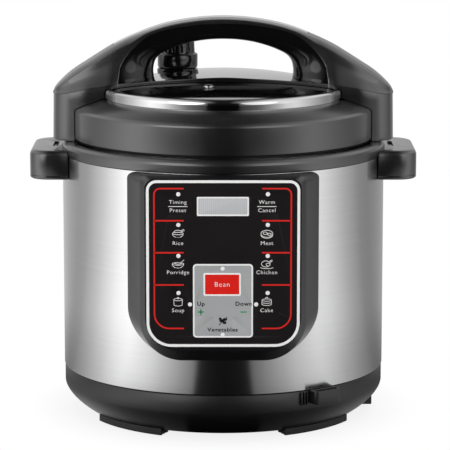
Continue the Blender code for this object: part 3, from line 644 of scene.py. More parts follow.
def build_pots():
    profile = tenths(
        160, 600, 1080, 600, 1128, 617, 1145, 665, 1145, 2365, 1215, 2365, 1215, 2402, 1130, 2402,
        1130, 671, 1116, 630, 1074, 615, 160, 615)
    pot = lathe("pressure_vessel", soften(profile, 0.0006, 2), look="alloy", sharp=40)
    lugs = lug_row("lug", 9.0, 20.0, 0.12, 0.1228, 0.237, 0.2398, 8)
    cut(pot, *lugs, operation="UNION")
    settle(bevel(pot, 0.0003), "base_unit", "pressure_pot")

    outer = tenths(
        0, 830, 870, 830, 960, 846, 1050, 900, 1096, 972, 1112, 1050, 1112, 2400, 1118, 2404,
        1158, 2405, 1165, 2411, 1158, 2417, 1110, 2417)
    inner = tenths(
        1103, 2414, 1099, 2405, 1099, 1052, 1083, 979, 1040, 911, 954, 859, 866, 844, 0, 844)
    bowl = lathe("cooking_pot", outer + inner, look="alloy", sharp=50)
    # Inside, the pot has its dark coating
    bowl.data.materials.append(LOOKS["coating"][1])
    for face in bowl.data.polygons:
        c = face.center
        r = math.hypot(c.x, c.y)
        inward = face.normal.x * c.x + face.normal.y * c.y < -1e-6
        floor = face.normal.z > 0.5 and c.z < 0.2
        if (inward and r < 0.1108) or floor:
            face.material_index = 1
    settle(bowl, "pot", "inner_pot")
    # Height marks on the inner wall
    for k in range(4):
        z = 0.125 + 0.022 * k
        section = [(0.1101, z - 0.0003), (0.1101, z + 0.0003), (0.1096, z + 0.0002),
                   (0.1096, z - 0.0002)]
        rings = [[polar(r, math.radians(84 + 1.5 * i), h) for r, h in section] for i in range(9)]
        loft(f"level_mark_{k}", rings, look="alloy", body="pot")


# ---------------------------------------------------------------- control panel

FACE = (-0.0642, 0.0865, 0.0642, 0.2281)


def flat_plate(name, outline, holes, front, back, **about):
    """A plate standing in XZ with through holes."""
    loops = [outline, *holes]
    flat = [p for loop in loops for p in loop]
    count = len(flat)
    verts = [(x, back, z) for x, z in flat] + [(x, front, z) for x, z in flat]
    vectors = [[Vector((x, z, 0)) for x, z in loop] for loop in loops]
    fill = [list(f) for f in tessellate_polygon(vectors)]
    faces = fill + [[i + count for i in f] for f in fill]
    start = 0
    for loop in loops:
        for i in range(len(loop)):
            a, b = start + i, start + (i + 1) % len(loop)
            faces.append([a, b, b + count, a + count])
        start += len(loop)
    return make(name, verts, faces, **about)


def band_line(name, path, width, look, body="base_unit", closed=False):
    """A printed line of even width along a path in XZ."""
    points = [Vector((x, z)) for x, z in path]
    n = len(points)
    left, right = [], []
    for i, p in enumerate(points):
        before = points[i - 1] if i or closed else None
        after = points[(i + 1) % n] if i < n - 1 or closed else None
        into = (p - before).normalized() if before is not None else (after - p).normalized()
        away = (after - p).normalized() if after is not None else into
        normal = Vector((-(into.y + away.y), into.x + away.x)).normalized()
        reach = width / 2 / max(0.5, normal.dot(Vector((-into.y, into.x))))
        left.append(p + normal * reach)
        right.append(p - normal * reach)
    if closed:
        flat_plate(name, right, [left], PRINT_Y, PRINT_BACK, look=look, body=body)
    else:
        prism(name, left + right[::-1], PRINT_Y, PRINT_BACK, "Y", look=look, body=body)


def label(name, text, x, z, height, look, body, wide=1.06, bold=-0.00003):
    """Generic function word in Blender's built-in font, turned into a thin printed mesh."""
    data = bpy.data.curves.new(name, "FONT")
    data.body = text
    data.align_x = "CENTER"
    data.align_y = "BOTTOM_BASELINE"
    data.size = height / CAPITAL
    data.space_character = 1.12
    data.offset = bold
    data.extrude = INK_HALF
    data.resolution_u = 3
    obj = bpy.data.objects.new(name, data)
    bpy.context.scene.collection.objects.link(obj)
    obj.location = (x, PRINT_Y + INK_HALF, z)
    obj.rotation_euler = (math.pi / 2, 0, 0)
    obj.scale = (wide, 1.0, 1.0)
    bpy.context.view_layer.update()
    graph = bpy.context.evaluated_depsgraph_get()
    mesh = bpy.data.meshes.new_from_object(obj.evaluated_get(graph))
    mesh.transform(obj.matrix_world)
    bpy.data.objects.remove(obj)
    out = bpy.data.objects.new(name, mesh)
    bpy.context.scene.collection.objects.link(out)
    mesh.materials.clear()
    dress(out, look)
    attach(out, body)


def build_surround():
    def ring(half, low, high, low_r, high_r, y):
        return [(x, y, z) for x, z in rounded(-half, low, half, high, low_r, high_r, 24)]

    levels = [(0.065, 0.0836, 0.2279, 0.0285, 0.006, -0.15),
              (0.0656, 0.083, 0.2285, 0.0291, 0.0064, -0.1499),
              (0.0661, 0.0825, 0.2289, 0.0296, 0.0068, -0.1496),
              (0.0665, 0.082, 0.2292, 0.03, 0.007, -0.149),
              (0.0695, 0.0737, 0.2311, 0.0357, 0.007, -0.1434),
              (0.0699, 0.0731, 0.2312, 0.0361, 0.007, -0.1425),
              (0.0704, 0.0728, 0.2312, 0.0364, 0.007, -0.141),
              (0.085, 0.0721, 0.2312, 0.044, 0.006, -0.108)]
    frame_piece = loft("panel_frame", [ring(*level) for level in levels], look="frame", sharp=28)
    drum = lathe("drum", tenths(0, 500, 1423.5, 500, 1423.5, 2500, 0, 2500))
    x0, z0, x1, z1 = FACE
    seat = prism("seat", rounded(x0 - 0.0001, z0 - 0.0001, x1 + 0.0001, z1 + 0.0001, 0.0211,
                                 0.0086, 16), -0.16, -0.1482, "Y")
    cavity = block("cavity", (-0.0595, -0.16, 0.092), (0.0595, -0.1, 0.2225))
    cut(frame_piece, drum, seat, cavity)
    settle(frame_piece, "base_unit", "panel_surround")


SIDE_KEYS = {  # key: (column, centre height, height of the key, height of its lamp)
    "timing_preset": (-1, 0.2062, 0.013, 0.2163), "rice": (-1, 0.1793, 0.015, 0.1904),
    "porridge": (-1, 0.1535, 0.014, 0.1641), "soup": (-1, 0.122, 0.014, 0.1326),
    "warm_cancel": (1, 0.2062, 0.013, 0.2163), "meat": (1, 0.1793, 0.015, 0.1904),
    "chicken": (1, 0.1535, 0.014, 0.1641), "cake": (1, 0.122, 0.014, 0.1326),
}
PLATE_KEYS = {  # key: (centre, centre height, width, height)
    "bean": (-0.0008, 0.1399, 0.0314, 0.0196), "up": (-0.0186, 0.1198, 0.0095, 0.0135),
    "down": (0.0172, 0.1198, 0.0095, 0.0135), "vegetables": (-0.0004, 0.1058, 0.016, 0.013),
}
WORD_HIGH, BRACKET_WIDE, SIGN_WIDE, PICTURE_WIDE = 0.0032, 0.0013, 0.0011, 0.00042
KEY_X, KEY_HALF, LAMP_X, LAMP_R, KEY_GAP = 0.0383, 0.00825, 0.0373, 0.0019, 0.00005
WORD_X = {-1: -0.0377, 1: 0.0365}
DISPLAY = (-0.0218, 0.198, 0.0215, 0.2141)
PLATE = (-0.0252, 0.0945, 0.025, 0.1573)
PLATE_LAMPS = tenths(-277, 1228, 277, 1228, -4, 1533, -4, 968)


def grown(shape, by):
    return (shape[0] - by, shape[1] - by, shape[2] + by, shape[3] + by)


def key_shapes():
    shapes = {}
    for name, (side, z, height, _) in SIDE_KEYS.items():
        x = side * KEY_X
        shapes[name] = (x - KEY_HALF, z - height / 2, x + KEY_HALF, z + height / 2)
    for name, (x, z, width, height) in PLATE_KEYS.items():
        shapes[name] = (x - width / 2, z - height / 2, x + width / 2, z + height / 2)
    return shapes


def circle(x, z, radius):
    return arc((x, z), radius, 0, 360, 24)[:-1]


def build_film():
    shapes = key_shapes()
    film_holes = [rounded(*grown(shapes[n], KEY_GAP), 0.0014, count=5) for n in SIDE_KEYS]
    film_holes += [rounded(*grown(DISPLAY, KEY_GAP), 0.0008, count=4),
                   rounded(*grown(PLATE, KEY_GAP), 0.003, count=6)]
    lamps = [(side * LAMP_X, lamp) for side, _, _, lamp in SIDE_KEYS.values()]
    film_holes += [circle(x, z, LAMP_R) for x, z in lamps + PLATE_LAMPS[:2]]
    outline = rounded(*FACE, 0.021, 0.0085, 16)
    film = flat_plate("panel_face", outline, film_holes, FILM_Y, FILM_BACK, look="film")
    settle(bevel(film, 0.00003, 1, 60, 40), "base_unit", "control_film")
    plate_holes = [rounded(*grown(shapes[n], KEY_GAP), 0.0014, count=5) for n in PLATE_KEYS]
    plate_holes += [circle(x, z, LAMP_R) for x, z in PLATE_LAMPS[2:]]
    plate = flat_plate("key_plate", rounded(*PLATE, 0.0029, count=6), plate_holes, FILM_Y,
                       FILM_BACK, look="grey")
    settle(bevel(plate, 0.00003, 1, 60, 40), "base_unit", "centre_plate")

    for name, shape in shapes.items():
        look = "film" if name in SIDE_KEYS else "red" if name == "bean" else "grey"
        cap = prism("cap_" + name, rounded(*shape, 0.0013, count=5), FILM_Y, -0.1452, "Y",
                    look=look)
        settle(bevel(cap, 0.00004, 1, 50, 35), name, "key_" + name)

    # The guide behind the film, and the lamps
    guide_holes = [rectangle(*grown(b, 0.0003)) for b in shapes.values()]
    guide_holes.append(rectangle(*grown(DISPLAY, -0.0005)))
    flat_plate("lamp_guide", rounded(-0.059, 0.0925, 0.059, 0.222, 0.0165, 0.0045, 6),
               guide_holes, -0.148, -0.1464, look="guide", body="base_unit",
               stands_for=["light_guide"])
    button = [(0.00185, -0.1482), (0.00185, -0.1496), (0.0017, -0.14985), (0.001, PRINT_Y)]
    for k, (x, z) in enumerate(lamps + PLATE_LAMPS):
        rings = [[(a, y, b) for a, b in circle(x, z, r)] for r, y in button]
        loft(f"lamp_{k}", rings, look="ink_white", body="base_unit")


def build_display():
    window = prism("display_glass", rounded(*grown(DISPLAY, -0.0013), 0.0006, count=4),
                   -0.1497, -0.1487, "Y", look="display")
    settle(bevel(window, 0.00015, sharp=35), "base_unit", "display_window")
    flat_plate("display_border", rounded(*DISPLAY, 0.0009, count=5),
               [rounded(*grown(DISPLAY, -0.0013), 0.0006, count=4)], PRINT_Y, -0.1487,
               look="ink_white", body="base_unit")


def build_print():
    x0, z0, x1, z1 = FACE
    inset = 0.00115
    line = rounded(x0 + inset, z0 + inset, x1 - inset, z1 - inset, 0.0198, 0.0075, 16)
    band_line("face_border", line, 0.0023, "ink_white", closed=True)

    # Red brackets: an upright on each side with arms towards the keys
    arms = (0.2211, 0.194, 0.1669, 0.1395, 0.1023)
    for tag, side, upright, inner in (("left", -1, -0.0575, -0.0328),
                                      ("right", 1, 0.0568, 0.0325)):
        top_r, low_r = 0.005, 0.0125
        path = [(inner, arms[0]), (upright - side * top_r, arms[0])]
        centre = (upright - side * top_r, arms[0] - top_r)
        path += arc(centre, top_r, 90, 180, 8) if side < 0 else arc(centre, top_r, 90, 0, 8)
        centre = (upright - side * low_r, arms[-1] + low_r)
        path += arc(centre, low_r, 180, 270, 12) if side < 0 else arc(centre, low_r, 0, -90, 12)
        path.append((inner, arms[-1]))
        band_line("bracket_" + tag, distinct(path), BRACKET_WIDE, "ink_red")
        for k, z in enumerate(arms[1:-1]):
            band_line(f"bracket_{tag}_arm_{k}", [(upright, z), (inner, z)], BRACKET_WIDE,
                      "ink_red")

    # White borders of the plate and of the red key
    band_line("plate_border", rounded(*grown(PLATE, -0.00065), 0.0024, count=6), 0.0013,
              "ink_white", closed=True)
    band_line("red_key_border", rounded(-0.0158, 0.1308, 0.0142, 0.149, 0.0008, count=4),
              0.0014, "ink_white", "bean", closed=True)


def build_words():
    for name, side in (("timing_preset", -1), ("warm_cancel", 1)):
        x = WORD_X[side]
        for word, z in zip(name.split("_"), (0.2082, 0.2013)):
            label("word_" + word, word.capitalize(), x, z, WORD_HIGH, "ink_white", name)
        band_line("divider_" + name, [(x - 0.008, 0.206), (x + 0.008, 0.206)], 0.0005,
                  "ink_white", name)
    for name, side, z in (("rice", -1, 0.1735), ("porridge", -1, 0.1487), ("soup", -1, 0.1163),
                          ("meat", 1, 0.1735), ("chicken", 1, 0.1487), ("cake", 1, 0.1163)):
        x = WORD_X[side]
        label("word_" + name, name.capitalize(), x, z, WORD_HIGH, "ink_white", name)
    label("word_bean", "Bean", -0.0008, 0.138, 0.0041, "ink_white", "bean", 1.06, -0.00007)
    for name in ("up", "down"):
        label("word_" + name, name.capitalize(), PLATE_KEYS[name][0], 0.1218, 0.0034,
              "ink_black", name, 1.08, 0.00012)
    label("word_vegetables", "Vegetables", -0.0004, 0.0997, 0.0033, "ink_black", "base_unit",
          1.11, 0.0001)
    for name in ("up", "down"):
        x = PLATE_KEYS[name][0]
        band_line(f"sign_{name}_bar", [(x - 0.0026, 0.1164), (x + 0.0026, 0.1164)], SIGN_WIDE,
                  "ink_green", name)
    x = PLATE_KEYS["up"][0]
    band_line("sign_up_stem", [(x, 0.1138), (x, 0.119)], SIGN_WIDE, "ink_green", "up")


def oval(x, z, rx, rz, start=0, end=360):
    return [(x + rx * a, z + rz * b) for a, b in arc((0, 0), 1, start, end, 20)]


def build_pictures():
    """Plain food pictures drawn with thin lines on the keys."""
    drawings = {  # key: (column, centre height, strokes about the centre)
        "rice": (-1, 0.1832, [
            oval(0, 0, 0.0046, 0.0034, 180), oval(0, 0, 0.0046, 0.001),
            oval(0, 0.0002, 0.0036, 0.0026, 10, 170), [(-0.0016, -0.0033), (0.0016, -0.0033)],
            [(0.002, 0.002), (0.0052, 0.0036)], [(0.0026, 0.0012), (0.0056, 0.0026)]]),
        "porridge": (-1, 0.1574, [
            oval(0, 0, 0.0048, 0.0036, 180), oval(0, 0, 0.0048, 0.0012),
            oval(0.0002, 0.0004, 0.003, 0.0006), [(0.0014, 0.0004), (0.005, 0.0034)],
            [(-0.0018, -0.0034), (0.0018, -0.0034)]]),
        "soup": (-1, 0.1252, [
            oval(0, 0.0018, 0.0036, 0.001), [(-0.0036, 0.0018), (-0.0034, -0.0028)],
            [(0.0036, 0.0018), (0.0034, -0.0028)], oval(0, -0.0028, 0.0034, 0.0009, 180),
            oval(0, 0.003, 0.0008, 0.0006)]),
        "meat": (1, 0.183, [
            oval(0, 0, 0.005, 0.003), oval(-0.0014, 0.0004, 0.0018, 0.0011),
            oval(0.0022, -0.0004, 0.0016, 0.0009), oval(0, -0.0008, 0.005, 0.003, 190, 350)]),
        "chicken": (1, 0.1574, [
            oval(-0.0008, 0.0, 0.0036, 0.0026), oval(0.0012, -0.0006, 0.0018, 0.0012, 20, 300),
            [(0.0026, 0.0012), (0.0048, 0.0026)], [(0.002, 0.002), (0.0044, 0.0034)],
            oval(0, -0.003, 0.0052, 0.001, 180)]),
        "cake": (1, 0.1252, [
            oval(0, 0.0014, 0.004, 0.001), [(-0.004, 0.0014), (-0.004, -0.0022)],
            [(0.004, 0.0014), (0.004, -0.0022)], oval(0, -0.0022, 0.004, 0.001, 180),
            oval(0, -0.0004, 0.004, 0.001, 180), oval(0, 0.003, 0.0009, 0.0009)]),
    }
    for name, (side, z, strokes) in drawings.items():
        for k, stroke in enumerate(strokes):
            path = [(WORD_X[side] + a, z + b) for a, b in stroke]
            closed = math.dist(path[0], path[-1]) < 1e-6
            band_line(f"picture_{name}_{k}", path[:-1] if closed else path, PICTURE_WIDE,
                      "ink_white", name, closed)
    # Leaves and a round vegetable on the plate's lower key
    leaf = [oval(-0.001, 0.1088, 0.0022, 0.0013), oval(0.0016, 0.11, 0.0019, 0.0012),
            oval(0.0012, 0.1072, 0.0016, 0.0012), oval(-0.0024, 0.1106, 0.0012, 0.001)]
    for k, shape in enumerate(leaf):
        prism(f"picture_vegetables_{k}", shape[:-1], PRINT_Y - 0.00001 * k, PRINT_BACK, "Y",
              look="ink_black", body="vegetables")
    band_line("picture_vegetables_stem", [(-0.0036, 0.105), (-0.0004, 0.1084), (0.0034, 0.112)],
              0.0006, "ink_black", "vegetables")


# ---------------------------------------------------------------- small fittings of the body


def build_fittings():
    inlet = block("inlet_block", (0.099, -0.02, 0.0048), (0.1325, 0.02, 0.0262), look="base")
    cut(inlet, prism("socket", rounded(-0.012, 0.0075, 0.012, 0.0235, 0.003), 0.118, 0.14,
                     "X"))
    settle(bevel(inlet, 0.0009, 3), "base_unit", "power_inlet")
    for k, (y, z) in enumerate(((-0.007, 0.014), (0.007, 0.014), (0.0, 0.018))):
        pin = block(f"inlet_pin_{k}", (0.1175, y - 0.001, z - 0.002),
                    (0.125, y + 0.001, z + 0.002), look="brass")
        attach(bevel(pin, 0.0004, 2, 40, 40), "base_unit")

    # The spoon holder stands square to the bowl's wall
    angle = math.radians(-90 + HOLDER_TURN)
    out = Vector((math.cos(angle), math.sin(angle)))
    side = Vector((-out.y, out.x))

    def spot(across, depth):
        p = out * (BOWL_R + depth) + side * across
        return (p.x, p.y)

    def u_shape(half, near, far, corner):
        right = [(half, near)]
        right += [(half - corner + corner * math.cos(t), far - corner + corner * math.sin(t))
                  for t in (math.pi / 2 * i / 6 for i in range(7))]
        return distinct([spot(*p) for p in right + [(-a, d) for a, d in reversed(right)]])

    holder = prism("utensil_loop", u_shape(0.0134, -0.001, 0.0104, 0.0034), 0.031, 0.0424,
                   look="base")
    cut(holder, prism("slot", u_shape(0.0119, 0.0022, 0.009, 0.0022), 0.02, 0.05))
    settle(bevel(holder, 0.0005, 3), "base_unit", "spoon_holder")
    for k in range(3):
        across = -0.0158 - 0.0029 * k
        foot = ((-0.0007, -0.001), (0.0007, -0.001), (0.0005, 0.0012), (-0.0005, 0.0012))
        rib = prism(f"loop_rib_{k}", [spot(across + a, d) for a, d in foot], 0.03, 0.0415,
                    look="base")
        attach(bevel(rib, 0.0003, 2, 40, 40), "base_unit")


def cup_shape(radius, half, rear, corner):
    span = math.degrees(math.asin(half / radius))
    points = arc((0, 0), radius, 90 - span, 90 + span, 16)
    points += arc((-half + corner, rear - corner), corner, 180, 90, 8)
    points += arc((half - corner, rear - corner), corner, 90, 0, 8)
    return points


def build_cup():
    back_r = SHELL_R + 0.0008
    cup = prism("drip_cup", cup_shape(back_r, 0.026, 0.15, 0.004), 0.15, 0.208, look="cup")
    cut(cup, prism("inside", cup_shape(back_r + 0.0012, 0.0247, 0.1488, 0.003), 0.152, 0.215))
    settle(bevel(cup, 0.0004), "cup", "condensation_cup")
    lip = prism("cup_lip", cup_shape(back_r, 0.027, 0.1504, 0.0045), 0.205, 0.2078, look="cup")
    cut(lip, prism("inside", cup_shape(back_r - 0.01, 0.0248, 0.1489, 0.003), 0.2, 0.215))
    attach(bevel(lip, 0.0005), "cup")
    for k in range(5):
        z = 0.16 + 0.006 * k
        rib = block(f"cup_rib_{k}", (-0.016, 0.1496, z), (0.016, 0.1506, z + 0.0018),
                    look="cup")
        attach(bevel(rib, 0.0004), "cup")
    spout = prism("drip_spout", cup_shape(back_r, 0.012, 0.149, 0.003), 0.2086, 0.23,
                  look="black")
    settle(bevel(spout, 0.001, 3), "base_unit", "condensate_spout")


# ---------------------------------------------------------------- lid

LINE_TOP = catmull(tenths(
    0, 3505, 154, 3499, 312, 3481, 470, 3452, 630, 3406, 787, 3346, 895, 3298, 1000, 3243,
    1110, 3175, 1212, 3110, 1325, 3036, 1389, 2984, 1443, 2932, 1470, 2902, 1486, 2878,
    1494, 2856, 1498, 2836))
LINE_SPLIT = catmull(tenths(
    0, 3455, 154, 3450, 312, 3434, 470, 3408, 580, 3378, 672, 3336, 760, 3263, 865, 3142,
    905, 3060, 915, 2960))
LINE_LOWER = catmull(tenths(
    0, 2994, 624, 2984, 750, 2966, 870, 2947, 1030, 2922, 1200, 2892, 1345, 2857, 1498, 2832))
HALF_TOP = catmull(tenths(
    0, 195, 550, 200, 1000, 235, 1180, 245, 1335, 238, 1430, 195, 1470, 140, 1488, 85, 1498, 30))
HALF_LOW = catmull(tenths(
    0, 200, 550, 208, 680, 232, 800, 272, 915, 312, 1000, 325, 1180, 324, 1335, 295, 1430, 236,
    1470, 175, 1488, 115, 1498, 45))
INLAY_FROM, INLAY_TO, INLAY_HALF, INLAY_DEPTH = -0.097, 0.075, 0.008, 0.0016
GRIP_END = 0.0915
FOOT_LOW = 0.2436


def crown_depth(x, low):
    return min(0.0058, (LINE_TOP(x) - low) * 0.45)


def cover_half(x, z, depth):
    """Half width of the cover at a height: its sides flare from the crown to the lower line."""
    crown = LINE_TOP(x) - depth
    s = min(1.0, max(0.0, (crown - z) / (crown - LINE_LOWER(x))))
    return HALF_TOP(x) + (HALF_LOW(x) - HALF_TOP(x)) * (0.25 * s + 0.75 * s * s)


def shell_ring(x, low):
    """Cross-section of the handle's cover: a crowned top and sides that flare towards the foot."""
    top, t = LINE_TOP(x), HALF_TOP(x)
    groove = INLAY_DEPTH if INLAY_FROM <= x <= INLAY_TO else 0.0
    depth = crown_depth(x, low)
    half = [(0.0, top - groove), (INLAY_HALF - 0.0003, top - 0.0003 - groove)]
    half.append((INLAY_HALF, top - 0.0004))
    for i in range(1, 9):
        a = math.pi / 2 * i / 8
        half.append((INLAY_HALF + (t - INLAY_HALF) * math.sin(a),
                     top - 0.0004 - (depth - 0.0004) * (1 - math.cos(a))))
    for i in range(1, 6):
        z = top - depth - (top - depth - low) * i / 5
        half.append((cover_half(x, z, depth), z))
    ring = [(x, y, z) for y, z in half]
    return ring + [(x, -y, z) for y, z in reversed(half[1:])]


def band_front(x):
    """Front edge of the bar, which bows back towards its ends."""
    return -0.055 + 0.0205 * (x / 0.084) ** 2


BAR_TOP = catmull(tenths(0, 3026, 310, 3010, 620, 2980, 750, 2961, 840, 2951, 870, 2947))


def band_top(x):
    return BAR_TOP(x) if abs(x) < 0.087 else LINE_LOWER(x) + 0.0001


def lid_surface(r):
    """A height just above the lid at a radius: dome, bead or shroud."""
    if r < 0.097:
        return dome_z(r) + 0.0004
    if r < 0.109:
        return 0.2903
    return 0.2808 - (r - 0.109) * 0.38


def build_lid():
    profile = tenths(
        1316, 2436, 1318, 2454, 1330, 2456, 1330, 2690, 1326, 2704, 1318, 2715, 1304, 2726,
        1285, 2735, 1235, 2757, 1178, 2779, 1120, 2799, 1084, 2809, 1084, 2785, 1270, 2712,
        1300, 2680, 1300, 2436)
    cover = lathe("lid_shroud", soften(profile, 0.0006, 3), look="black", sharp=50)
    settle(cover, "lid", "lid_cover")

    top = [(0.0, DOME_TOP)]
    top += [(0.004 + 0.0047 * i, dome_z(0.004 + 0.0047 * i)) for i in range(21)]
    bead = tenths(
        995, 2893, 1010, 2889, 1022, 2890, 1036, 2895, 1050, 2896, 1063, 2891, 1072, 2881,
        1077, 2867, 1078, 2850)
    flange = tenths(1078, 2620, 1290, 2590, 1290, 2570, 1060, 2602, 1060, 2850, 1020, 2872)
    under = [(r, dome_z(r) - 0.002) for r in (0.098, 0.08, 0.06, 0.04, 0.02)]
    profile = top + bead + flange + under + [(0.0, DOME_TOP - 0.002)]
    dome = lathe("lid_dome", profile, look="dome", sharp=60)
    holes = []
    for name, x, y, r in (("vent", VALVE_X, VALVE_Y, 0.0055), ("float", FLOAT_X, FLOAT_Y, 0.0036)):
        hole = [(0.0, 0.27), (r, 0.27), (r, 0.32), (0.0, 0.32)]
        holes.append(lathe(name + "_hole", hole, 32, (x, y)))
    cut(dome, *holes)
    smooth(dome, 60)
    settle(dome, "lid", "steel_lid")

    profile = tenths(1290, 2566, 1272, 2566, 1272, 2320, 1290, 2320)
    lock = lathe("lock_skirt", soften(profile, 0.0004, 2), look="steel", sharp=50)
    lugs = lug_row("lid_lug", 38.5, 13.0, 0.1252, 0.1282, 0.2323, 0.235, 6)
    cut(lock, *lugs, operation="UNION")
    settle(lock, "lid", "locking_ring")

    profile = tenths(
        1262, 2428, 1262, 2550, 1255, 2557, 1120, 2558, 1118, 2548, 1120, 2538, 1228, 2534,
        1236, 2526, 1236, 2462, 1228, 2454, 1060, 2448, 1056, 2438, 1060, 2428)
    lathe("seal_gasket", soften(profile, 0.0005, 2), look="silicone", body="seal",
          stands_for=["sealing_ring"], sharp=55)
    wire = [polar(0.121, 2 * math.pi * i / 128, 0.2495) for i in range(128)]
    tube("seal_wire", wire, 0.0016, 12, closed=True, look="steel", body="seal",
         stands_for=["seal_rack"])


def build_handle():
    xs = [k * 0.0025 for k in range(59)]
    xs += [0.0913, 0.0917, 0.146, 0.147, 0.1478, 0.1484, 0.1489, 0.1493, 0.1496, 0.1498]
    xs += [INLAY_TO - 0.0001, INLAY_TO + 0.0001, -INLAY_FROM + 0.0001, -INLAY_FROM - 0.0001]
    rings = [shell_ring(x, LINE_SPLIT(x) if abs(x) <= GRIP_END else LINE_LOWER(x) + 0.0003)
             for x in sorted(set([-x for x in xs] + xs))]
    shell = loft("handle_cover", rings, look="black", sharp=34)
    settle(bevel(shell, 0.0006, 3, 42), "lid", "handle_shell")

    # The inlay strip lies in the groove of the cover's top
    rings = []
    for k in range(41):
        x = INLAY_FROM + 0.0005 + (INLAY_TO - INLAY_FROM - 0.001) * k / 40
        top, w = LINE_TOP(x) - 0.0001, INLAY_HALF - 0.0004
        section = [(-w, top - 0.0008), (-w, top - 0.0005), (-w + 0.0004, top - 0.0002), (0.0, top),
                   (w - 0.0004, top - 0.0002), (w, top - 0.0005), (w, top - 0.0008),
                   (w, top - 0.0014), (0.0, top - 0.0011), (-w, top - 0.0014)]
        rings.append([(x, y, z) for y, z in section])
    loft("handle_strip", rings, look="gloss", body="lid", stands_for=["handle_inlay"])

    settle(front_bar(), "lid", "handle_bridge")
    build_foot("left", -1)
    build_foot("right", 1)
    build_grip()


def build_foot(name, side):
    """The handle's foot: it wraps over the lid's edge, down to the rim, and carries the cover."""
    xs = [0.0905 + 0.0025 * i for i in range(22)]
    xs += [0.1445, 0.1458, 0.1468, 0.1477, 0.1484, 0.1489, 0.1492]
    plan = [(x, -(HALF_LOW(x) - 0.0005)) for x in xs]
    plan += [(x, -y) for x, y in reversed(plan)]
    rings = [[(side * (x + 0.0006 * s * (x > 0.135)), y, LINE_LOWER(x) * (1 - s) + FOOT_LOW * s)
              for x, y in plan] for s in (k / 6 for k in range(7))]
    foot = loft("handle_saddle_" + name, rings, look="black", sharp=40)
    lid = tenths(
        0, 2000, 1334, 2000, 1334, 2692, 1329, 2707, 1320, 2719, 1306, 2730, 1286, 2740,
        1179, 2783, 1121, 2803, 1083, 2818, 1083, 2868, 1076, 2885, 1065, 2896, 1050, 2901,
        1035, 2900, 1020, 2895, 999, 2897)
    lid += [(0.09, dome_z(0.09) + 0.0004), (0.0, dome_z(0.09) + 0.0004)]
    cut(foot, lathe("lid_form", lid))
    settle(bevel(foot, 0.001, 3, 42), "lid", "handle_seat_" + name)


def front_bar():
    """The bar across the front: its top falls to the rear, and it lies on the lid's surface."""
    m, n = 89, 8
    flat = []
    for i in range(m):
        x = 0.0021 * (i - 44)
        flat += [(x, band_front(x) + 0.0001 + 0.001 * j, 0.001 * j) for j in range(n)]
    lows = [lid_surface(math.hypot(x, y)) - 0.0002 for x, y, _ in flat]
    verts = [(x, y, low) for (x, y, _), low in zip(flat, lows)]
    verts += [(x, y, max(band_top(x) - 0.16 * behind, low + 0.0004))
              for (x, y, behind), low in zip(flat, lows)]
    faces = []
    for shift in (0, m * n):
        for i in range(m - 1):
            for j in range(n - 1):
                a = shift + i * n + j
                faces.append([a, a + 1, a + n + 1, a + n])
    edge = list(range(n)) + [i * n + n - 1 for i in range(1, m)]
    edge += [(m - 1) * n + j for j in range(n - 2, -1, -1)]
    edge += [i * n for i in range(m - 2, 0, -1)]
    for a, b in zip(edge, edge[1:] + edge[:1]):
        faces.append([a, b, b + m * n, a + m * n])
    return bevel(make("front_bar", verts, faces, look="bar", sharp=35), 0.0009, 3)


GRIP_INNER = tenths(
    0, 3312, 110, 3308, 222, 3294, 306, 3276, 412, 3244, 500, 3207, 560, 3168, 597, 3120,
    612, 3070, 616, 3025, 612, 2988)
GRIP_OUTER = [0.0, 0.0115, 0.0235, 0.035, 0.048, 0.06, 0.071, 0.0805, 0.0872, 0.0905, 0.0914]


def along(values, t):
    """A smooth value at t from 0 to 1 through evenly spaced values."""
    place = t * (len(values) - 1)
    i = min(int(place), len(values) - 2)
    u = place - i
    p0, p1 = values[max(i - 1, 0)], values[i]
    p2, p3 = values[i + 1], values[min(i + 2, len(values) - 1)]
    return 0.5 * (2 * p1 + (p2 - p0) * u + (2 * p0 - 5 * p1 + 4 * p2 - p3) * u * u
                  + (3 * p1 - p0 - 3 * p2 + p3) * u ** 3)


def build_grip():
    """Glossy lining of the arch: its section turns with the arch and widens towards the feet."""
    steps, count = 56, 32
    rings = []
    for k in range(-steps, steps + 1):
        t = abs(k) / steps
        side = -1 if k < 0 else 1
        inner_x = along([p[0] for p in GRIP_INNER], t)
        inner_z = along([p[1] for p in GRIP_INNER], t)
        outer_x = along(GRIP_OUTER, t)
        outer_z = (LINE_SPLIT(outer_x) if outer_x < GRIP_END else LINE_LOWER(outer_x)) - 0.0003
        outer_z = max(outer_z, LINE_LOWER(outer_x) + 0.0003)
        inner_z = max(inner_z, LINE_LOWER(inner_x) + 0.0003)
        half = cover_half(outer_x, outer_z, crown_depth(outer_x, outer_z)) - 0.0005
        # From a rounded box at the middle of the arch to a plain half round at its feet
        share = min(1.0, max(0.0, (t - 0.45) / 0.35))
        power = 0.42 + 0.58 * share * share * (3 - 2 * share)
        ring = []
        for i in range(count + 1):
            turn = math.pi * i / count
            bulge = max(0.0, math.sin(turn)) ** power
            across = math.copysign(abs(math.cos(turn)) ** power, math.cos(turn))
            ring.append((side * (outer_x + (inner_x - outer_x) * bulge), -half * across,
                         outer_z + (inner_z - outer_z) * bulge))
        rings.append(ring)
    for place, end in ((0, rings[0]), (len(rings) + 1, rings[-1])):
        rings.insert(place, [(x, y, lid_surface(math.hypot(x, y)) - 0.0002) for x, y, _ in end])
    grip = loft("grip_lining", rings, look="lining", sharp=50)
    settle(grip, "lid", "handle_grip")


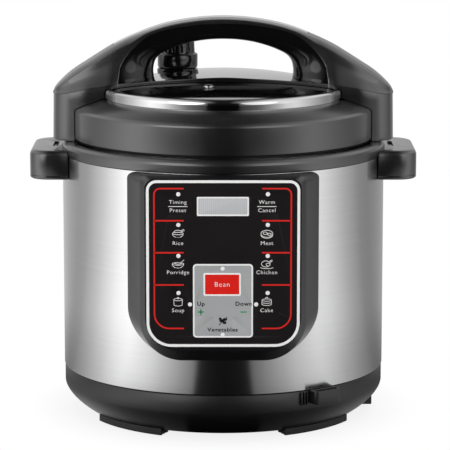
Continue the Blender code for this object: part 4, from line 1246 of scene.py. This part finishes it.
def build_valves():
    at = (VALVE_X, VALVE_Y)
    profile = tenths(
        56, 3005, 160, 3005, 172, 3010, 179, 3022, 180, 3118, 176, 3130, 168, 3135, 157, 3136,
        155, 3142, 152, 3200, 150, 3278, 144, 3294, 130, 3302, 60, 3299, 0, 3298, 0, 3125,
        56, 3125)
    knob = lathe("steam_valve", profile, 96, at, look="knob", sharp=45)
    groove = tenths(0, 3150, 22, 3150, 24, 3400, 0, 3400)
    grooves = []
    for k in range(14):
        centre = polar(0.0166, math.radians(-90 + 360 * (k + 0.5) / 14), 0.0, at)
        grooves.append(lathe(f"groove_{k}", groove, 20, centre))
    cut(knob, *grooves)
    settle(bevel(knob, 0.0003), "valve_knob", "exhaust_valve")
    pointer = [(VALVE_X + a, VALVE_Y + b) for a, b in
               ((-0.001, -0.0118), (0.001, -0.0118), (0.001, -0.006), (0.0024, -0.006),
                (0.0, -0.002), (-0.0024, -0.006), (-0.001, -0.006))]
    prism("valve_pointer", pointer, 0.3298, 0.33015, look="ink_white", body="valve_knob")

    # The collar under the valve lies on the dome
    rings = []
    for r, lift in ((0.0182, None), (0.0185, 0.2985), (0.0178, 0.3001), (0.016, 0.3003)):
        ring = []
        for i in range(64):
            x, y, _ = polar(r, 2 * math.pi * i / 64, 0.0, at)
            low = dome_z(math.hypot(x, y)) - 0.0006
            ring.append((x, y, low if lift is None else max(low + 0.0002, lift)))
        rings.append(ring)
    loft("valve_collar", rings, look="knob", body="lid", sharp=45)

    pipe = tenths(14, 2900, 50, 2900, 50, 3080, 46, 3092, 38, 3110, 14, 3110)
    lathe("steam_pipe", pipe, 48, at, look="steel", body="lid", stands_for=["vent_pipe"])
    z = dome_z(math.hypot(FLOAT_X, FLOAT_Y))
    profile = tenths(0, 22, 26, 20, 40, 15, 49, 9, 50, 5, 32, 5, 32, -132, 26, -140, 0, -140,
                     lift=z)
    lathe("float_plunger", profile, 48, (FLOAT_X, FLOAT_Y), look="steel", body="float_pin",
          stands_for=["float_valve"], sharp=40)
    profile = tenths(35, -100, 56, -100, 60, -108, 60, -118, 56, -125, 35, -125, lift=z)
    lathe("float_gasket", profile, 48, (FLOAT_X, FLOAT_Y), look="silicone", body="float_pin",
          stands_for=["float_seal"], sharp=40)


# ---------------------------------------------------------------- inner pieces


def build_spring():
    """The sensor's spring, a coil of wire in place of the CAD node."""
    coil = [polar(0.0085, 2 * math.pi * i / 36, 0.062 + 0.017 * i / 144) for i in range(145)]
    spring = tube("probe_spring", coil, 0.0007, 8, look="steel")
    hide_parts("sensor_spring")
    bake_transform(spring)


def finish_inner():
    """These CAD nodes keep their shape and get a finer material."""
    looks = {
        "drip_trough": "black", "heating_plate": "alloy", "heating_element": "steel",
        "sensor_seat": "steel", "sensor_probe": "alloy", "pressure_switch": "base",
        "power_board": "board", "control_board": "board", "display_module": "display",
        "anti_block_shield": "steel",
    }
    for node, look in looks.items():
        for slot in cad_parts[node].material_slots:
            slot.material = LOOKS[look][1]


# ---------------------------------------------------------------- stage

# Brightness of the studio by turn, from straight ahead (0) to behind (1)
STUDIO = [(0.0, 0.004), (0.078, 0.006), (0.09, 0.16), (0.122, 0.24), (0.183, 0.42), (0.261, 0.72),
          (0.33, 1.0), (0.4, 0.92), (0.439, 0.78), (0.511, 0.53), (0.567, 0.4), (0.61, 0.3),
          (0.672, 0.27), (0.767, 0.32), (0.87, 0.36), (1.0, 0.42)]
STUDIO_POWER, FLOOR_POWER = 1.9, 1.8
LIGHTS = (  # name, place, diameter, watts, seen in reflections only
    ("fill_left", (-1.2, -2.0, 1.0), 1.2, 20.0, False),
    ("fill_right", (1.2, -2.0, 1.0), 1.2, 15.0, False),
    ("box_left", (-1.3, -1.9, 0.95), 1.5, 9.0, True),
    ("box_right", (1.3, -1.9, 0.95), 1.5, 5.0, True),
)
LIGHTS_AIM = (0.0, 0.0, 0.15)
CAMERA_AIM, CAMERA_AWAY, CAMERA_RISE, CAMERA_LENS = (0.0016, 0.0, 0.164), 2.342, 9.99, 210.3
FLOOR_HALF = 6


def studio_light(tree, vector):
    """Brightness around the studio: dark straight ahead, two soft panels, dimmer behind.

    Also gives the direction's components, its absolute x and its share of a half turn.
    """
    parts = add(tree, "ShaderNodeSeparateXYZ", in_0=vector)
    side = calc(tree, "ABSOLUTE", parts.outputs[0])
    front = calc(tree, "MULTIPLY", parts.outputs[1], -1.0)
    share = calc(tree, "DIVIDE", calc(tree, "ARCTAN2", side, front), math.pi)
    ramp = add(tree, "ShaderNodeValToRGB", in_0=share)
    elements = ramp.color_ramp.elements
    elements.remove(elements[-1])
    for place, value in STUDIO:
        stop = elements.new(place) if place else elements[0]
        stop.color = (value, value, value, 1.0)
    flat = add(tree, "ShaderNodeVectorMath", operation="NORMALIZE", in_0=vector)
    across = add(tree, "ShaderNodeSeparateXYZ", in_0=flat.outputs[0]).outputs[0]
    balance = spread(tree, across, -0.3, 0.3, 1.0, 0.7)
    return calc(tree, "MULTIPLY", ramp.outputs[0], balance), parts.outputs, side, share


def seen_or_lit(tree, lit, seen, output):
    """The camera sees one shader, and everything else is lit by the other."""
    camera_ray = add(tree, "ShaderNodeLightPath").outputs["Is Camera Ray"]
    either = add(tree, "ShaderNodeMixShader", in_0=camera_ray, in_1=lit.outputs[0],
                 in_2=seen.outputs[0])
    tree.links.new(either.outputs[0], output.inputs["Surface"])


def build_world():
    world = bpy.data.worlds.new("studio")
    bpy.context.scene.world = world
    world.use_nodes = True
    tree = world.node_tree
    background = tree.nodes["Background"]
    direction = add(tree, "ShaderNodeTexCoord").outputs["Generated"]
    walls, parts, across, _ = studio_light(tree, direction)
    lift = spread(tree, parts[2], 0.22, 0.6, 0.0, 1.0)
    overhead = spread(tree, across, 0.1, 0.6, 0.008, 0.6)
    ceiling = mixed(tree, spread(tree, parts[1], 0.72, 0.78, 0.0, 1.0), overhead,
                    (0.34, 0.34, 0.34))
    tree.links.new(mixed(tree, lift, walls, ceiling), background.inputs["Color"])
    background.inputs["Strength"].default_value = STUDIO_POWER
    plain = add(tree, "ShaderNodeBackground", in_Color=(1.0, 1.0, 1.0, 1.0), in_Strength=1.0)
    seen_or_lit(tree, background, plain, tree.nodes["World Output"])


def floor_material():
    """White ground with a painted soft contact shadow; to all other rays it glows, a painted
    bounce of the studio's own brightness.
    """
    mat, tree, shader = new_material("floor_white")
    tree.nodes.remove(shader)
    # Painted contact shadow: the camera sees an emission darkened by ambient occlusion
    close = add(tree, "ShaderNodeAmbientOcclusion", samples=8, in_Distance=0.05)
    shade = spread(tree, close.outputs["AO"], 0.0, 0.9, 0.84, 1.0)
    ground = add(tree, "ShaderNodeEmission", in_Color=shade, in_Strength=1.0)
    # Painted light for all but the camera: the floor glows with the studio's brightness, painted
    # darker close to the object as a painted shadow, and dimmer towards the front further out
    at = object_coords(tree)
    walls, _, _, share = studio_light(tree, at)
    away = add(tree, "ShaderNodeVectorMath", operation="LENGTH", in_0=at).outputs["Value"]
    rise = add(tree, "ShaderNodeMix", data_type="FLOAT",
               in_0=spread(tree, share, 0.22, 0.42, 0.0, 1.0),
               in_2=spread(tree, away, 0.17, 0.26, 0.25, 1.05),
               in_3=spread(tree, away, 0.17, 0.5, 0.4, 1.0))
    near = calc(tree, "MULTIPLY", walls, rise.outputs[0])
    dimmed = calc(tree, "MULTIPLY", walls, spread(tree, share, 0.17, 0.38, 0.3, 1.0))
    thrown = add(tree, "ShaderNodeMix", data_type="FLOAT",
                 in_0=spread(tree, away, 0.7, 1.2, 0.0, 1.0), in_2=near, in_3=dimmed)
    painted_bounce = add(tree, "ShaderNodeEmission", in_Color=thrown.outputs[0], in_Strength=FLOOR_POWER)
    seen_or_lit(tree, painted_bounce, ground, tree.nodes["Material Output"])
    return mat


def build_stage():
    scene = bpy.context.scene
    scene.view_settings.view_transform = "Standard"
    scene.view_settings.look = "None"
    build_world()

    for name, place, size, power, shine in LIGHTS:
        data = bpy.data.lights.new(name, "AREA")
        data.shape = "ELLIPSE"
        data.size = data.size_y = size
        data.energy = power
        light = bpy.data.objects.new(name, data)
        scene.collection.objects.link(light)
        light.location = place
        aim = Vector(LIGHTS_AIM) - Vector(place)
        light.rotation_euler = aim.to_track_quat("-Z", "Y").to_euler()
        light.visible_glossy = shine
        light.visible_diffuse = not shine

    corners = rectangle(-FLOOR_HALF, -FLOOR_HALF, FLOOR_HALF, FLOOR_HALF)
    floor = make("floor", [(x, y, 0) for x, y in corners], [[0, 1, 2, 3]])
    floor.data.materials.append(floor_material())

    data = bpy.data.cameras.new("camera")
    data.sensor_width, data.lens = 36.0, CAMERA_LENS
    camera = bpy.data.objects.new("camera", data)
    scene.collection.objects.link(camera)
    rise = math.radians(CAMERA_RISE)
    away = CAMERA_AWAY * Vector((0.0, -math.cos(rise), math.sin(rise)))
    camera.location = Vector(CAMERA_AIM) + away
    camera.rotation_euler = (-away).to_track_quat("-Z", "Y").to_euler()
    data.clip_start, data.clip_end = 0.05, 50.0
    scene.camera = camera


build_stage()
build_shell()
build_base()
build_ring()
build_ears()
build_pots()
build_surround()
build_film()
build_display()
build_print()
build_words()
build_pictures()
build_fittings()
build_cup()
build_lid()
build_handle()
build_valves()
build_spring()
finish_inner()
